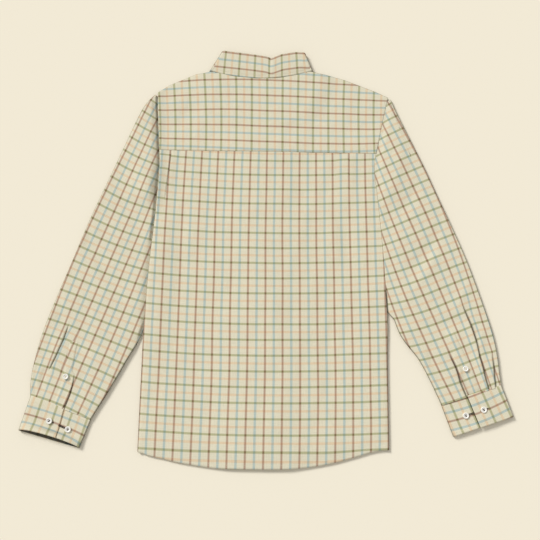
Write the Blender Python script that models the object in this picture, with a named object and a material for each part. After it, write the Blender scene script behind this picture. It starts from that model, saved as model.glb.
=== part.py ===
"""A checked long-sleeved shirt laid flat on its front, back upwards, collar towards +Y.

Every piece of cloth is a closed wall made from a grid of points on its middle surface.
Lower pieces lie on z = 0: the collar's front halves, the fronts and the sleeves' undersides.
The back, the yoke and the sleeves' upper sides lie on them. Tables are in millimetres.
"""

import math

import bpy
import numpy as np

MM = 0.001

# Cloth
WALL = 1.2            # wall of one piece of cloth
CUFF_WALL = 1.6       # a cuff is cloth over an interlining
SEAM_GAP = 0.4        # between two pieces that are sewn to each other
LAYER = WALL + SEAM_GAP
FLOOR = WALL / 2      # middle surface of a wall that lies on the ground

# Body, laid flat
SIDE_HEIGHT = 4.6     # middle surface of the back near the side seams
CROWN = 1.9           # the back stands this much higher over the front band
NECK_RISE = 2.2       # and this much higher round the collar
BODY_HALF = 230.0
EDGE_BAND = 8.0       # cloth along a side that takes part in its rounding
SEAM_LIFT = 1.7       # the yoke lies on the back panel's seam allowance
SEAM_ALLOWANCE = 8.0
YOKE_SEAM_Y = 195.0
YOKE_SEAM_SLOPE = -0.018
SHOULDER_WRAP = 28.0  # the yoke reaches this far over the shoulder to the front
UNDERARM_Y = 50.0
YOKE_OUTER = 9        # columns of the yoke's grid along each shoulder
YOKE_INNER = 11       # and along the neck
YOKE_ROWS = 8         # rows from its seam to the shoulder fold
NECK_DEPTH = 4.0      # the rise round the collar is centred this far above the neck seam

# Front band and buttons
BAND_X = -8.0
BAND_HALF = 17.0
BUTTON_RADIUS = 5.7
BUTTON_HEIGHT = 2.2
BAND_RISE = BUTTON_HEIGHT + 0.3
FRONT_BUTTONS = 7
FRONT_BUTTON_TOP_Y = 222.0
FRONT_BUTTON_PITCH = 88.0

# Collar
COLLAR_X = -11.0
NECK_Y = 363.0
NECK_HALF = 91.0
NECK_DROP = 71.0
STAND_TOP_HALF = 78.5
FOLD_SHIFT = 7.0      # the top fold lies this much to the right of the neck seam
STAND_OUTSET = 1.0     # the stand's top edge stands this much outside the leaf's fold at each side
STAND_TOP_DROP = 77.0
STAND_TURN = 2.1      # how far the stand bulges at its flattened sides
LEAF_TURN = 4.2
LEAF_ROLL = 1.5       # radius of the leaf's fold over the stand
LEAF_EDGE_HALF = 99.5
LEAF_EDGE_Y = 366.0
LEAF_SAG = 15.0       # the leaf's lower edge behind is this much lower at its middle
FOLD_Y = 404.0        # top fold of the collar at its left end
FOLD_FALL = 4.0       # and this much lower from the middle on
FOLD_DIP = 9.0
FOLD_DIP_AT = 12.5
FOLD_DIP_WIDTH = 17.0
BACK_STAND_HEIGHT = SIDE_HEIGHT + NECK_RISE
LEAF_HEIGHT = BACK_STAND_HEIGHT + LAYER + 0.2
POINT_SPREAD = 46.0
POINT_Y = 264.0
POINT_GAP = 7.0

# Sleeves and cuffs
SLEEVE_HEIGHT = 5.6
SLEEVE_EDGE = 2.5
TUCKED_HEIGHT = 2.2   # upper wall of the left sleeve where the body lies on it
TUCKED_RISE = 1.7     # the back stands this much higher there
CUFF_OUTER_HEIGHT = 5.6
CUFF_UNDER_HEIGHT = 4.3
CUFF_LAP_HEIGHT = CUFF_UNDER_HEIGHT + CUFF_WALL + 0.5
CUFF_LAP = 0.17       # share of the cuff's width that lies under its lapping edge
PLACKET_WALL = 1.0
PLACKET_HALF = 11.5
PLACKET_LIFT = 0.8    # the placket is sewn this much above the sleeve's upper side
PLACKET_POINT = 9.0
SMALL_BUTTON_RADIUS = 5.2
BUTTON_LIFT = 0.35    # a cuff button stands this much above the cloth, on its thread
COLLAR_BUTTON_Y = 308.0

# Body side, back view: height up the garment, left edge, right edge.
SIDE_ROWS = (
    (-378.0, -232.0, 223.0),
    (-250.0, -230.5, 225.0),
    (-140.0, -228.0, 226.5),
    (-74.0, -225.0, 224.5),
    (0.0, -220.0, 221.5),
    (56.0, -215.0, 218.0),
    (115.0, -211.0, 213.5),
    (145.0, -209.0, 210.5),
    (176.0, -208.5, 212.0),
    (205.0, -210.5, 218.0),
    (263.0, -214.0, 231.0),
    (318.0, -217.0, 244.0),
)

# Hem: across, height up the garment.
HEM_ROWS = (
    (-236.0, -377.0),
    (-217.3, -384.0),
    (-187.8, -392.4),
    (-159.9, -398.2),
    (-134.0, -402.4),
    (-90.9, -407.4),
    (-22.1, -409.0),
    (60.5, -408.0),
    (100.0, -405.2),
    (141.4, -399.6),
    (181.3, -390.4),
    (228.0, -378.5),
)

# Shoulder fold: across, height up the garment. The neck lies between the two middle rows.
SHOULDER_ROWS = (
    (-217.0, 321.0),
    (-196.0, 336.0),
    (-168.0, 349.0),
    (-142.0, 360.0),
    (-122.0, 363.0),
    (-102.4, NECK_Y),
    (80.4, NECK_Y),
    (98.0, 363.0),
    (118.0, 359.0),
    (153.0, 349.0),
    (185.0, 336.0),
    (217.0, 322.5),
    (244.0, 309.0),
)

# Sleeve sections: outer edge x, y and inner edge x, y. Down to UNDERARM the inner edge is the armhole.
LEFT_SLEEVE_ROWS = (
    (-223.5, 316.0, -219.5, 312.5),
    (-247.0, 285.0, -215.0, 268.0),
    (-280.0, 205.0, -211.0, 184.0),
    (-309.0, 133.0, -211.5, 118.0),
    (-340.0, 56.0, -215.0, 34.0),
    (-368.0, -23.0, -215.5, -74.0),
    (-394.0, -95.0, -230.5, -158.0),
    (-414.0, -155.0, -262.0, -221.0),
    (-427.0, -210.0, -290.0, -272.0),
    (-432.5, -252.0, -305.0, -297.0),
    (-431.0, -280.5, -319.5, -322.0),
)
RIGHT_SLEEVE_ROWS = (
    (247.0, 306.0, 242.5, 301.0),
    (262.0, 268.0, 232.0, 256.0),
    (288.0, 208.0, 218.0, 192.0),
    (309.5, 158.0, 210.0, 150.0),
    (329.0, 108.0, 215.0, 96.0),
    (353.0, 48.0, 219.5, 30.0),
    (379.5, -23.0, 225.0, -60.0),
    (402.0, -96.0, 245.0, -157.0),
    (420.0, -161.0, 281.0, -212.0),
    (427.0, -206.0, 301.0, -252.0),
    (429.0, -240.0, 313.0, -280.0),
    (431.0, -262.0, 320.0, -296.5),
)

# Cuff corners: outer x, y and inner x, y, at the sleeve seam and at the mouth.
LEFT_CUFF_ROWS = (
    (-431.2, -281.2, -319.8, -322.8),
    (-448.4, -341.0, -337.8, -372.0),
)
RIGHT_CUFF_ROWS = (
    (431.2, -262.7, 320.2, -297.2),
    (448.7, -316.6, 338.5, -352.0),
)

# Creases of the upper surfaces: start x, y, end x, y, half width, height, one side only (a pleat) or both.
BACK_CREASES = (
    (-186.6, 196.0, -196.0, 100.0, 14.0, 2.0, 1),
    (-202.0, 196.0, -212.0, 130.0, 9.0, 1.4, 1),
    (163.5, 192.0, 160.0, 84.0, 16.0, 2.0, -1),
    (35.0, 170.0, 78.0, 80.0, 16.0, -0.8, 0),
    (132.0, 78.0, 146.0, -70.0, 18.0, -0.9, 0),
    (128.0, -120.0, 136.0, -330.0, 18.0, -0.8, 0),
)
LEFT_SLEEVE_CREASES = (
    (-369.7, -150.0, -399.0, -232.0, 12.0, 1.5, 1),
    (-352.0, 40.0, -250.0, -100.0, 16.0, -1.0, 0),
    (-400.0, -120.0, -300.0, -200.0, 14.0, -1.0, 0),
    (-404.0, -225.0, -409.0, -283.0, 8.0, 1.2, 1),
)
RIGHT_SLEEVE_CREASES = (
    (383.0, -158.0, 407.6, -268.0, 14.0, 1.8, -1),
    (425.0, -196.0, 419.4, -264.0, 8.0, 1.4, -1),
    (340.0, 60.0, 250.0, -60.0, 16.0, -1.0, 0),
    (300.0, -150.0, 390.0, -120.0, 14.0, -0.9, 0),
)


def clear_scene():
    for thing in list(bpy.data.objects):
        bpy.data.objects.remove(thing, do_unlink=True)


def smoothstep(low, high, value):
    part = min(max((value - low) / (high - low), 0.0), 1.0)
    return part * part * (3.0 - 2.0 * part)


def mix(a, b, part):
    return a + (b - a) * part


def along_rows(rows, position):
    """Smooth curve through a table's rows; position runs from 0 to the last row."""
    rows = np.asarray(rows, dtype=float)
    last = len(rows) - 1
    index = min(int(position), last - 1)
    part = position - index
    before = rows[max(index - 1, 0)]
    start = rows[index]
    end = rows[index + 1]
    after = rows[min(index + 2, last)]
    slope_start = (end - before) / 2.0
    slope_end = (after - start) / 2.0
    square = part * part
    cube = square * part
    return ((2 * cube - 3 * square + 1) * start + (cube - 2 * square + part) * slope_start
            + (3 * square - 2 * cube) * end + (cube - square) * slope_end)


def side_x(height, side):
    """The body's edge at a height up the garment; side is -1 for left and 1 for right."""
    column = [row[1] if side < 0 else row[2] for row in SIDE_ROWS]
    return float(np.interp(height, [row[0] for row in SIDE_ROWS], column))


def shoulder_y(across):
    return float(np.interp(across, [row[0] for row in SHOULDER_ROWS], [row[1] for row in SHOULDER_ROWS]))


def hem_y(across):
    return float(np.interp(across, [row[0] for row in HEM_ROWS], [row[1] for row in HEM_ROWS]))


def yoke_seam_y(across):
    return YOKE_SEAM_Y + YOKE_SEAM_SLOPE * across


def neckline_y(across):
    """The front neck seam, half an ellipse below the back neck seam."""
    share = min(abs(across - COLLAR_X) / NECK_HALF, 1.0)
    return NECK_Y - NECK_DROP * math.sqrt(1.0 - share * share)


def crease_height(creases, x, y):
    total = 0.0
    for x0, y0, x1, y1, half_width, height, one_side in creases:
        run = math.hypot(x1 - x0, y1 - y0)
        ux = (x1 - x0) / run
        uy = (y1 - y0) / run
        down = ((x - x0) * ux + (y - y0) * uy) / run
        off = (x - x0) * uy - (y - y0) * ux
        if one_side:
            off *= one_side
            fade = (1.0 - smoothstep(0.25, 1.0, down)) * smoothstep(-0.1, 0.0, down)
            profile = smoothstep(-1.5, 0.5, off) * (1.0 - smoothstep(0.5, 2.2 * half_width, off))
        else:
            fade = smoothstep(-0.1, 0.3, down) * (1.0 - smoothstep(0.7, 1.1, down))
            profile = math.exp(-(off / half_width) ** 2)
        total += height * fade * profile
    return total


def tucked_share(x, y):
    """1 where the body's left side lies on the sleeve, fading to 0."""
    along = smoothstep(-235.0, -170.0, y) * (1.0 - smoothstep(35.0, 78.0, y))
    return along * (1.0 - smoothstep(16.0, 60.0, x - side_x(y, -1)))


def lower_height(x, y):
    """Middle surface of the fronts: flat on the ground but for the band, the collar and the left side."""
    band = BAND_RISE * (1.0 - smoothstep(20.0, 58.0, abs(x - BAND_X)))
    reach = math.hypot(x - COLLAR_X, y - NECK_Y - NECK_DEPTH)
    collar = LAYER * (1.0 - smoothstep(122.0, 160.0, reach))
    tucked = (TUCKED_HEIGHT + LAYER - FLOOR) * tucked_share(x, y)
    return FLOOR + max(band, collar, tucked)


def back_height(x, y):
    crown = CROWN * (1.0 - smoothstep(20.0, 110.0, abs(x - BAND_X)))
    reach = math.hypot(x - COLLAR_X, y - NECK_Y - NECK_DEPTH)
    neck = NECK_RISE * (1.0 - smoothstep(116.0, 158.0, reach))
    tucked = TUCKED_RISE * tucked_share(x, y)
    return SIDE_HEIGHT + max(crown, neck) + tucked + crease_height(BACK_CREASES, x, y)


def material(name, colour, roughness):
    made = bpy.data.materials.new(name)
    made.use_nodes = True
    shader = made.node_tree.nodes["Principled BSDF"]
    shader.inputs["Base Color"].default_value = (*colour, 1.0)
    shader.inputs["Roughness"].default_value = roughness
    shader.inputs["Metallic"].default_value = 0.0
    return made


def add_object(name, points, faces, finish):
    mesh = bpy.data.meshes.new(name)
    mesh.from_pydata([tuple(MM * value for value in point) for point in points], [], faces)
    mesh.validate()
    mesh.shade_smooth()
    mesh.set_sharp_from_angle(angle=math.radians(40.0))
    mesh.materials.append(finish)
    made = bpy.data.objects.new(name, mesh)
    bpy.context.scene.collection.objects.link(made)
    return made


def surface_normals(grid, cells):
    """Unit normals of a grid of points, from the cells that are kept."""
    normals = np.zeros_like(grid)
    for row, column in cells:
        corners = ((row, column), (row, column + 1), (row + 1, column + 1), (row + 1, column))
        first = grid[corners[2]] - grid[corners[0]]
        second = grid[corners[3]] - grid[corners[1]]
        turned = np.cross(first, second)
        turned /= max(np.linalg.norm(turned), 1e-9)
        for corner in corners:
            normals[corner] += turned
    length = np.linalg.norm(normals, axis=2, keepdims=True)
    return normals / np.maximum(length, 1e-9)


def cloth(name, grid, finish, wall=WALL, left_out=()):
    """A closed wall round a grid of middle-surface points; left_out names cells that aren't cloth."""
    grid = np.asarray(grid, dtype=float)
    rows, columns = grid.shape[:2]
    cells = [(row, column) for row in range(rows - 1) for column in range(columns - 1)
             if (row, column) not in left_out]
    normals = surface_normals(grid, cells)
    used = sorted({(row + down, column + along) for row, column in cells
                   for down in (0, 1) for along in (0, 1)})
    number = {corner: index for index, corner in enumerate(used)}
    count = len(used)
    points = [grid[corner] + normals[corner] * wall / 2 for corner in used]
    points += [grid[corner] - normals[corner] * wall / 2 for corner in used]
    faces = []
    edges = {}
    for row, column in cells:
        loop = [number[corner] for corner in
                ((row, column), (row, column + 1), (row + 1, column + 1), (row + 1, column))]
        faces.append(tuple(loop))
        faces.append(tuple(index + count for index in reversed(loop)))
        for start, end in zip(loop, loop[1:] + loop[:1]):
            edges[(start, end)] = True
    for start, end in edges:
        if (end, start) not in edges:
            faces.append((start, start + count, end + count, end))
    return add_object(name, points, faces, finish)


def spaced(start, end, count):
    return [start + (end - start) * index / (count - 1) for index in range(count)]


def body_grid(bottom, top, left, right, height, rows, columns):
    """Grid of a body panel. bottom and top are curves of x; left and right are curves of y."""
    grid = []
    for row in spaced(0.0, 1.0, rows):
        line = []
        for share in columns:
            x = mix(left(0.0), right(0.0), share)
            y = 0.0
            for _ in range(12):
                y = mix(bottom(x), top(x), row)
                x = mix(left(y), right(y), share)
            line.append((x, y, height(x, y)))
        grid.append(line)
    return grid


def round_side(line, ends):
    """Turns the last points of a line of the back down to the front, below the armhole."""
    x_edge, y_edge, _ = line[ends[0]]
    inward = 1.0 if ends[0] == 0 else -1.0
    high = back_height(x_edge + inward * EDGE_BAND, y_edge)
    low = lower_height(x_edge + inward * 2.0, y_edge) + WALL / 2 + 2 * SEAM_GAP
    radius = high - low
    share = 1.0 - smoothstep(UNDERARM_Y - 30.0, UNDERARM_Y + 20.0, y_edge)
    for index, angle in zip(ends, (math.pi / 2, 1.05, 0.5)):
        x, y, z = line[index]
        turned_x = x_edge + inward * 0.8 * radius * (1.0 - math.sin(angle))
        turned_z = low + radius * math.cos(angle)
        line[index] = (mix(x, turned_x, share), y, mix(z, turned_z, share))


def back_panel(finish):
    band = EDGE_BAND / (2 * BODY_HALF)
    edge = [0.0, 0.35 * band, 0.7 * band]
    columns = edge + spaced(band, 1.0 - band, 27) + [1.0 - share for share in reversed(edge)]
    grid = body_grid(hem_y, lambda x: yoke_seam_y(x) + SEAM_ALLOWANCE,
                     lambda y: side_x(y, -1), lambda y: side_x(y, 1), back_height, 17, columns)
    for line in grid:
        round_side(line, (0, 1, 2))
        round_side(line, (-1, -2, -3))
    return cloth("back", grid, finish)


def front_top_y(across):
    return min(neckline_y(across) - 3 * SEAM_GAP, shoulder_y(across) - SHOULDER_WRAP - 2 * SEAM_GAP)


def left_front(finish):
    edge = BAND_X + BAND_HALF
    grid = body_grid(hem_y, front_top_y, lambda y: side_x(y, -1), lambda y: edge,
                     lower_height, 16, spaced(0.0, 1.0, 13))
    return cloth("front_left", grid, finish)


def right_front(finish):
    edge = BAND_X - BAND_HALF
    overlap = BAND_X + BAND_HALF

    def height(x, y):
        return lower_height(x, y) + LAYER * (1.0 - smoothstep(overlap + 1.5, overlap + 30.0, x))

    grid = body_grid(hem_y, front_top_y, lambda y: edge, lambda y: side_x(y, 1),
                     height, 16, spaced(0.0, 1.0, 13))
    return cloth("front_right", grid, finish)


def yoke_across(column, y):
    """Where a column of the yoke's grid lies: left shoulder, neck, right shoulder."""
    left_neck = SHOULDER_ROWS[5][0]
    right_neck = SHOULDER_ROWS[6][0]
    if column < YOKE_OUTER:
        return mix(side_x(y, -1), left_neck, column / (YOKE_OUTER - 1.0))
    if column < YOKE_OUTER + YOKE_INNER - 1:
        return mix(left_neck, right_neck, (column - YOKE_OUTER + 1.0) / (YOKE_INNER - 1.0))
    return mix(right_neck, side_x(y, 1), (column - YOKE_OUTER - YOKE_INNER + 2.0) / (YOKE_OUTER - 1.0))


def yoke_back_point(column, share):
    x = yoke_across(column, NECK_Y)
    y = NECK_Y
    for _ in range(12):
        inset = 3.0 if abs(x - COLLAR_X) > NECK_HALF else 0.0
        y = mix(yoke_seam_y(x), shoulder_y(x) - inset, share)
        x = yoke_across(column, y)
    lift = SEAM_LIFT * (1.0 - smoothstep(SEAM_ALLOWANCE + 4.0, 60.0, y - yoke_seam_y(x)))
    return x, y, back_height(x, y) + lift


def yoke(finish):
    """The yoke runs from its seam over the back, round both shoulder folds and under to the fronts."""
    columns = range(2 * YOKE_OUTER + YOKE_INNER - 2)
    grid = [[yoke_back_point(column, share) for column in columns] for share in spaced(0.0, 1.0, YOKE_ROWS)]
    for degrees in (15.0, 50.0, 90.0, 130.0, 165.0):
        angle = math.radians(degrees)
        line = []
        for x, y, z in grid[YOKE_ROWS - 1]:
            fold = shoulder_y(x)
            low = lower_height(x, fold - 6.0)
            radius = (z - low) / 2.0
            line.append((x, y + (fold - y) * math.sin(angle), low + radius + radius * math.cos(angle)))
        grid.append(line)
    for under in (6.0, 17.0, SHOULDER_WRAP):
        line = []
        for column in columns:
            y = NECK_Y - 50.0
            for _ in range(8):
                x = yoke_across(column, y)
                y = shoulder_y(x) - under
            line.append((x, y, lower_height(x, y)))
        grid.append(line)
    neck_columns = range(YOKE_OUTER - 1, YOKE_OUTER + YOKE_INNER - 2)
    left_out = {(row, column) for row in range(YOKE_ROWS - 1, len(grid) - 1) for column in neck_columns}
    return cloth("yoke", grid, finish, left_out=left_out)


def ring_stations():
    """Stations along the collar's band, from the left end round the back: (kind, side, share)."""
    front = [("front", -1, share) for share in spaced(0.0, 1.0, 10)]
    turn = [("turn", -1, share) for share in (0.25, 0.5, 0.75)]
    back = [("back", 0, share) for share in spaced(0.0, 1.0, 15)]
    turn_right = [("turn", 1, share) for share in (0.25, 0.5, 0.75)]
    front_right = [("front", 1, share) for share in spaced(1.0, 0.0, 10)]
    return front + turn + back + turn_right + front_right


def ring_point(station, half, back_y, drop, turn, low, high, start, shift=0.0):
    """A point of a flattened ring: half ellipse in front, straight across the back, rounded at both sides."""
    kind, side, share = station
    if kind == "front":
        angle = mix(start, math.pi / 2, share)
        x = COLLAR_X + shift * (1.0 - math.cos(angle)) + side * half * math.sin(angle)
        y = back_y(side * half) - drop * math.cos(angle)
        return x, y, low(x, y)
    if kind == "turn":
        angle = math.pi * share if side < 0 else math.pi * (1.0 - share)
        edge_y = back_y(side * half)
        bottom = low(COLLAR_X + side * half, edge_y)
        top = high(side * half)
        lift = mix(bottom, top, (1.0 - math.cos(angle)) / 2.0)
        return COLLAR_X + shift + side * (half + turn * math.sin(angle)), edge_y, lift
    offset = mix(-half, half, share)
    return COLLAR_X + shift + offset, back_y(offset), high(offset)


def fold_y(offset):
    """The collar's top fold, which dips a little right of its middle."""
    dip = FOLD_DIP * math.exp(-((offset - FOLD_DIP_AT) / FOLD_DIP_WIDTH) ** 2)
    return FOLD_Y - FOLD_FALL * smoothstep(-STAND_TOP_HALF, 0.0, offset) - dip


def collar_stand(finish):
    overlap_angle = -math.asin(BAND_HALF / NECK_HALF)
    top_angle = -math.asin(BAND_HALF / (STAND_TOP_HALF + STAND_OUTSET))
    grid = []
    for part in spaced(0.0, 1.0, 4):
        line = []
        for station in ring_stations():
            right_end = station[1] == 1 and station[0] == "front"

            def low(x, y, right_end=right_end):
                over = LAYER * (1.0 - smoothstep(BAND_HALF + 5.0, BAND_HALF + 28.0, x - COLLAR_X))
                return lower_height(x, y) + (over if right_end else 0.0)
            bottom = ring_point(station, NECK_HALF, lambda offset: NECK_Y + 3 * SEAM_GAP, NECK_DROP,
                                STAND_TURN, low, lambda offset: BACK_STAND_HEIGHT, overlap_angle)
            top = ring_point(station, STAND_TOP_HALF + STAND_OUTSET, lambda offset: fold_y(offset) - LEAF_ROLL,
                             STAND_TOP_DROP, STAND_TURN, lambda x, y: max(low(x, y), FLOOR + 2 * LEAF_ROLL),
                             lambda offset: BACK_STAND_HEIGHT, top_angle, FOLD_SHIFT)
            bottom, top = np.array(bottom), np.array(top)
            top -= (top - bottom) * 4 * SEAM_GAP / np.linalg.norm(top - bottom)
            past_middle = station[1] * (COLLAR_X - top[0]) if station[0] == "front" else 0.0
            height = part * (1.0 - 0.3 * smoothstep(0.0, 7.0, past_middle + 2.0))
            line.append(tuple(mix(bottom, top, height)))
        grid.append(line)
    return cloth("collar_stand", grid, finish)


def leaf_edge(station):
    """The leaf's outer edge: over the yoke behind, and from the shoulder to the point in front."""
    kind, side, share = station
    if kind == "front":
        lean = share ** 0.8
        x = COLLAR_X + side * mix(POINT_SPREAD, LEAF_EDGE_HALF, lean)
        y = mix(POINT_Y, LEAF_EDGE_Y, share)
        return x, y, FLOOR
    if kind == "turn":
        angle = math.pi * share if side < 0 else math.pi * (1.0 - share)
        z = mix(FLOOR, LEAF_HEIGHT, (1.0 - math.cos(angle)) / 2.0)
        return COLLAR_X + side * (LEAF_EDGE_HALF + LEAF_TURN * math.sin(angle)), LEAF_EDGE_Y, z
    offset = mix(-LEAF_EDGE_HALF, LEAF_EDGE_HALF, share)
    y = LEAF_EDGE_Y - LEAF_SAG * (1.0 - (offset / LEAF_EDGE_HALF) ** 2)
    return COLLAR_X + offset, y, back_height(COLLAR_X + offset, LEAF_EDGE_Y - LEAF_SAG) + LAYER + 0.2


def collar_leaf(finish):
    """The leaf starts at the stand's top edge, rolls over it and lies outside it."""
    rolls = (0.0, 45.0, 90.0, 135.0, 180.0)
    shares = (0.0, 0.0, 0.0, 0.0, 0.0, 0.3, 0.65, 1.0)
    start = math.asin(POINT_GAP / STAND_TOP_HALF)
    grid = []
    for row in range(len(shares)):
        line = []
        for station in ring_stations():
            fold = np.array(ring_point(station, STAND_TOP_HALF, lambda offset: fold_y(offset) - LEAF_ROLL,
                                       STAND_TOP_DROP, STAND_TURN + 2 * LEAF_ROLL, lambda x, y: FLOOR,
                                       lambda offset: BACK_STAND_HEIGHT + 2 * LEAF_ROLL, start, FOLD_SHIFT))
            edge = np.array(leaf_edge(station))
            point = mix(fold, edge, shares[row])
            if row < len(rolls):
                outward = fold[:2] - edge[:2]
                outward /= np.linalg.norm(outward)
                angle = math.radians(rolls[row])
                inner_turn = turn_towards_stand(station)
                point[:2] = fold[:2] + outward * LEAF_ROLL * math.sin(angle)
                point = point + inner_turn * LEAF_ROLL * (1.0 + math.cos(angle))
            line.append(tuple(point))
        grid.append(line)
    return cloth("collar_leaf", grid, finish)


def turn_towards_stand(station):
    """Direction from the leaf to the stand that it folds over: down behind, up in front, inward at a side."""
    kind, side, share = station
    if kind == "front":
        return np.array((0.0, 0.0, 1.0))
    if kind == "back":
        return np.array((0.0, 0.0, -1.0))
    angle = math.pi * share if side < 0 else math.pi * (1.0 - share)
    return np.array((-side * math.sin(angle), 0.0, math.cos(angle)))


def left_inner_x(x, y, lower):
    """Left armhole: the sleeve's edge lies a little under the body, and clear of it at the underarm."""
    under = 4.5 * smoothstep(125.0, 150.0, y) * (1.0 - smoothstep(270.0, 300.0, y)) * (0.0 if lower else 1.0)
    tucked = 10.0 * (1.0 - smoothstep(0.0, 20.0, y))
    edge = side_x(y, -1) - 1.0 + under + tucked
    return mix(x, edge, smoothstep(-160.0, -122.0, y))


def right_inner_x(x, y, lower):
    """Right armhole: the sleeve meets the body edge to edge."""
    gap = mix(WALL + SEAM_GAP + 0.2, 1.5, smoothstep(UNDERARM_Y - 30.0, UNDERARM_Y + 20.0, y))
    return mix(x, side_x(y, 1) + gap, smoothstep(-140.0, -122.0, y))


def sleeve_section(rows, position, inner_x, inner_height, creases, top_rolls_from):
    """One ring of a sleeve: over the top from the inner edge, round the outer fold and back beneath."""
    outer_x, outer_y, edge_x, edge_y = along_rows(rows, position)
    top_x = inner_x(edge_x, edge_y, False)
    low_x = inner_x(edge_x, edge_y, True)
    width = math.hypot(outer_x - top_x, outer_y - edge_y)
    radius = min(SLEEVE_EDGE, 0.6 + 0.2 * width)
    fold = radius / width
    band = min(EDGE_BAND, 0.25 * width) / width
    high = FLOOR + 2 * radius
    rolled = 1.0 - smoothstep(top_rolls_from - 25.0, top_rolls_from, edge_y)
    seam_high = min(inner_height(edge_y), high)
    inner_radius = (seam_high - FLOOR) / 2.0
    stop = (WALL / 2 + SEAM_GAP / 2) / 2.5

    def upper(share):
        x = mix(top_x, outer_x, share)
        y = mix(edge_y, outer_y, share)
        rise = smoothstep(min(11.0 / width, 0.15), min(36.0 / width, 0.6), share)
        inside = smoothstep(0.0, 0.12, share) * (1.0 - smoothstep(0.9, 1.0, share))
        return [x, y, mix(seam_high, high, rise) + inside * crease_height(creases, x, y)]

    def lower(share):
        return [mix(low_x, outer_x, share), mix(edge_y, outer_y, share), FLOOR]

    def rolled_in(point, start_x, angle, sign):
        centre = inner_radius / width
        share = centre * (1.0 - math.sin(angle))
        x = mix(start_x, outer_x, share)
        y = mix(edge_y, outer_y, share)
        z = FLOOR + inner_radius + sign * inner_radius * math.cos(angle)
        return [mix(point[0], x, rolled), mix(point[1], y, rolled), mix(point[2], z, rolled)]

    angles = (math.pi / 2 - 0.45 * stop, 0.95, 0.42)
    shares = (0.0, 0.3 * band, 0.65 * band)
    line = [rolled_in(upper(share), top_x, angle, 1.0) for share, angle in zip(shares, angles)]
    line += [upper(share) for share in spaced(band, 1.0 - fold, 9)]
    for degrees in (32.0, 70.0, 110.0, 148.0):
        angle = math.radians(degrees)
        share = 1.0 - fold + fold * math.sin(angle)
        line.append([mix(top_x, outer_x, share), mix(edge_y, outer_y, share),
                     FLOOR + radius + radius * math.cos(angle)])
    line += [lower(share) for share in spaced(1.0 - fold, band, 5)]
    line += [rolled_in(lower(share), low_x, angle, -1.0) for share, angle in zip(shares[::-1], angles[::-1])]
    return line


def sleeve(name, rows, inner_x, inner_height, creases, top_rolls_from, finish):
    last = len(rows) - 1.0
    grid = [sleeve_section(rows, position, inner_x, inner_height, creases, top_rolls_from)
            for position in spaced(0.0, last, 23)]
    if rows[0][0] > 0:
        grid = [line[::-1] for line in grid]
    return cloth(name, grid, finish)


def left_inner_height(y):
    """Upper wall at the left sleeve's inner edge: low beside the body, lower under it, full below it."""
    beside = mix(TUCKED_HEIGHT, 2.7, smoothstep(60.0, 100.0, y))
    return mix(SLEEVE_HEIGHT, beside, smoothstep(-195.0, -160.0, y))


def right_inner_height(y):
    """Upper wall at the right sleeve's inner edge: level with the body beside it, full below it."""
    return mix(SLEEVE_HEIGHT, SIDE_HEIGHT + 0.2, smoothstep(-170.0, -120.0, y))


def placket(name, start, end, creases, finish):
    """A strip on the sleeve's upper side, with a pointed top, from the cuff seam upwards."""
    height = SLEEVE_HEIGHT + WALL / 2 + PLACKET_LIFT + PLACKET_WALL / 2
    along = np.array(end) - np.array(start)
    length = np.linalg.norm(along)
    along /= length
    across = np.array((along[1], -along[0]))
    grid = []
    for run in spaced(0.0, 1.0, 9):
        line = []
        for off in (-1.0, -0.5, 0.0, 0.5, 1.0):
            point_length = length * run - PLACKET_POINT * abs(off) * smoothstep(0.85, 1.0, run)
            x, y = np.array(start) + along * point_length + across * off * PLACKET_HALF
            line.append((x, y, height + crease_height(creases, x, y)))
        grid.append(line)
    return cloth(name, grid, finish, wall=PLACKET_WALL)


def cuff_height(share, edge):
    """Middle surface of the cuff's upper side, outer part: it laps over the inner part's end."""
    return mix(CUFF_OUTER_HEIGHT, CUFF_LAP_HEIGHT, smoothstep(0.12, edge - 0.18, share))


def cuff(name, rows, edges, finish):
    """One strip round the wrist, from its lapping edge outwards, round beneath and back under that edge."""
    low = CUFF_WALL / 2
    outer_radius = (CUFF_OUTER_HEIGHT - low) / 2
    inner_radius = (CUFF_UNDER_HEIGHT - low) / 2
    grid = []
    for row in spaced(0.0, 1.0, 6):
        outer_x, outer_y, inner_x, inner_y = mix(np.array(rows[0]), np.array(rows[1]), row)
        edge = mix(edges[0], edges[1], row)
        width = math.hypot(outer_x - inner_x, outer_y - inner_y)
        outer_fold = outer_radius / width
        inner_fold = inner_radius / width
        path = [(share, cuff_height(share, edge)) for share in spaced(edge, outer_fold, 8)]
        for degrees in (35.0, 70.0, 110.0, 145.0):
            angle = math.radians(degrees)
            path.append((outer_fold * (1.0 - math.sin(angle)), low + outer_radius * (1.0 + math.cos(angle))))
        path += [(share, low) for share in spaced(outer_fold, 1.0 - inner_fold, 7)]
        for degrees in (145.0, 110.0, 70.0, 35.0):
            angle = math.radians(degrees)
            share = 1.0 - inner_fold * (1.0 - math.sin(angle))
            path.append((share, low + inner_radius * (1.0 + math.cos(angle))))
        path += [(share, CUFF_UNDER_HEIGHT) for share in spaced(1.0 - inner_fold, edge - CUFF_LAP, 6)]
        grid.append([(mix(outer_x, inner_x, share), mix(outer_y, inner_y, share), z) for share, z in path])
    if rows[0][0] < 0:
        grid = [line[::-1] for line in grid]
    return cloth(name, grid, finish, wall=CUFF_WALL)


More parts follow.
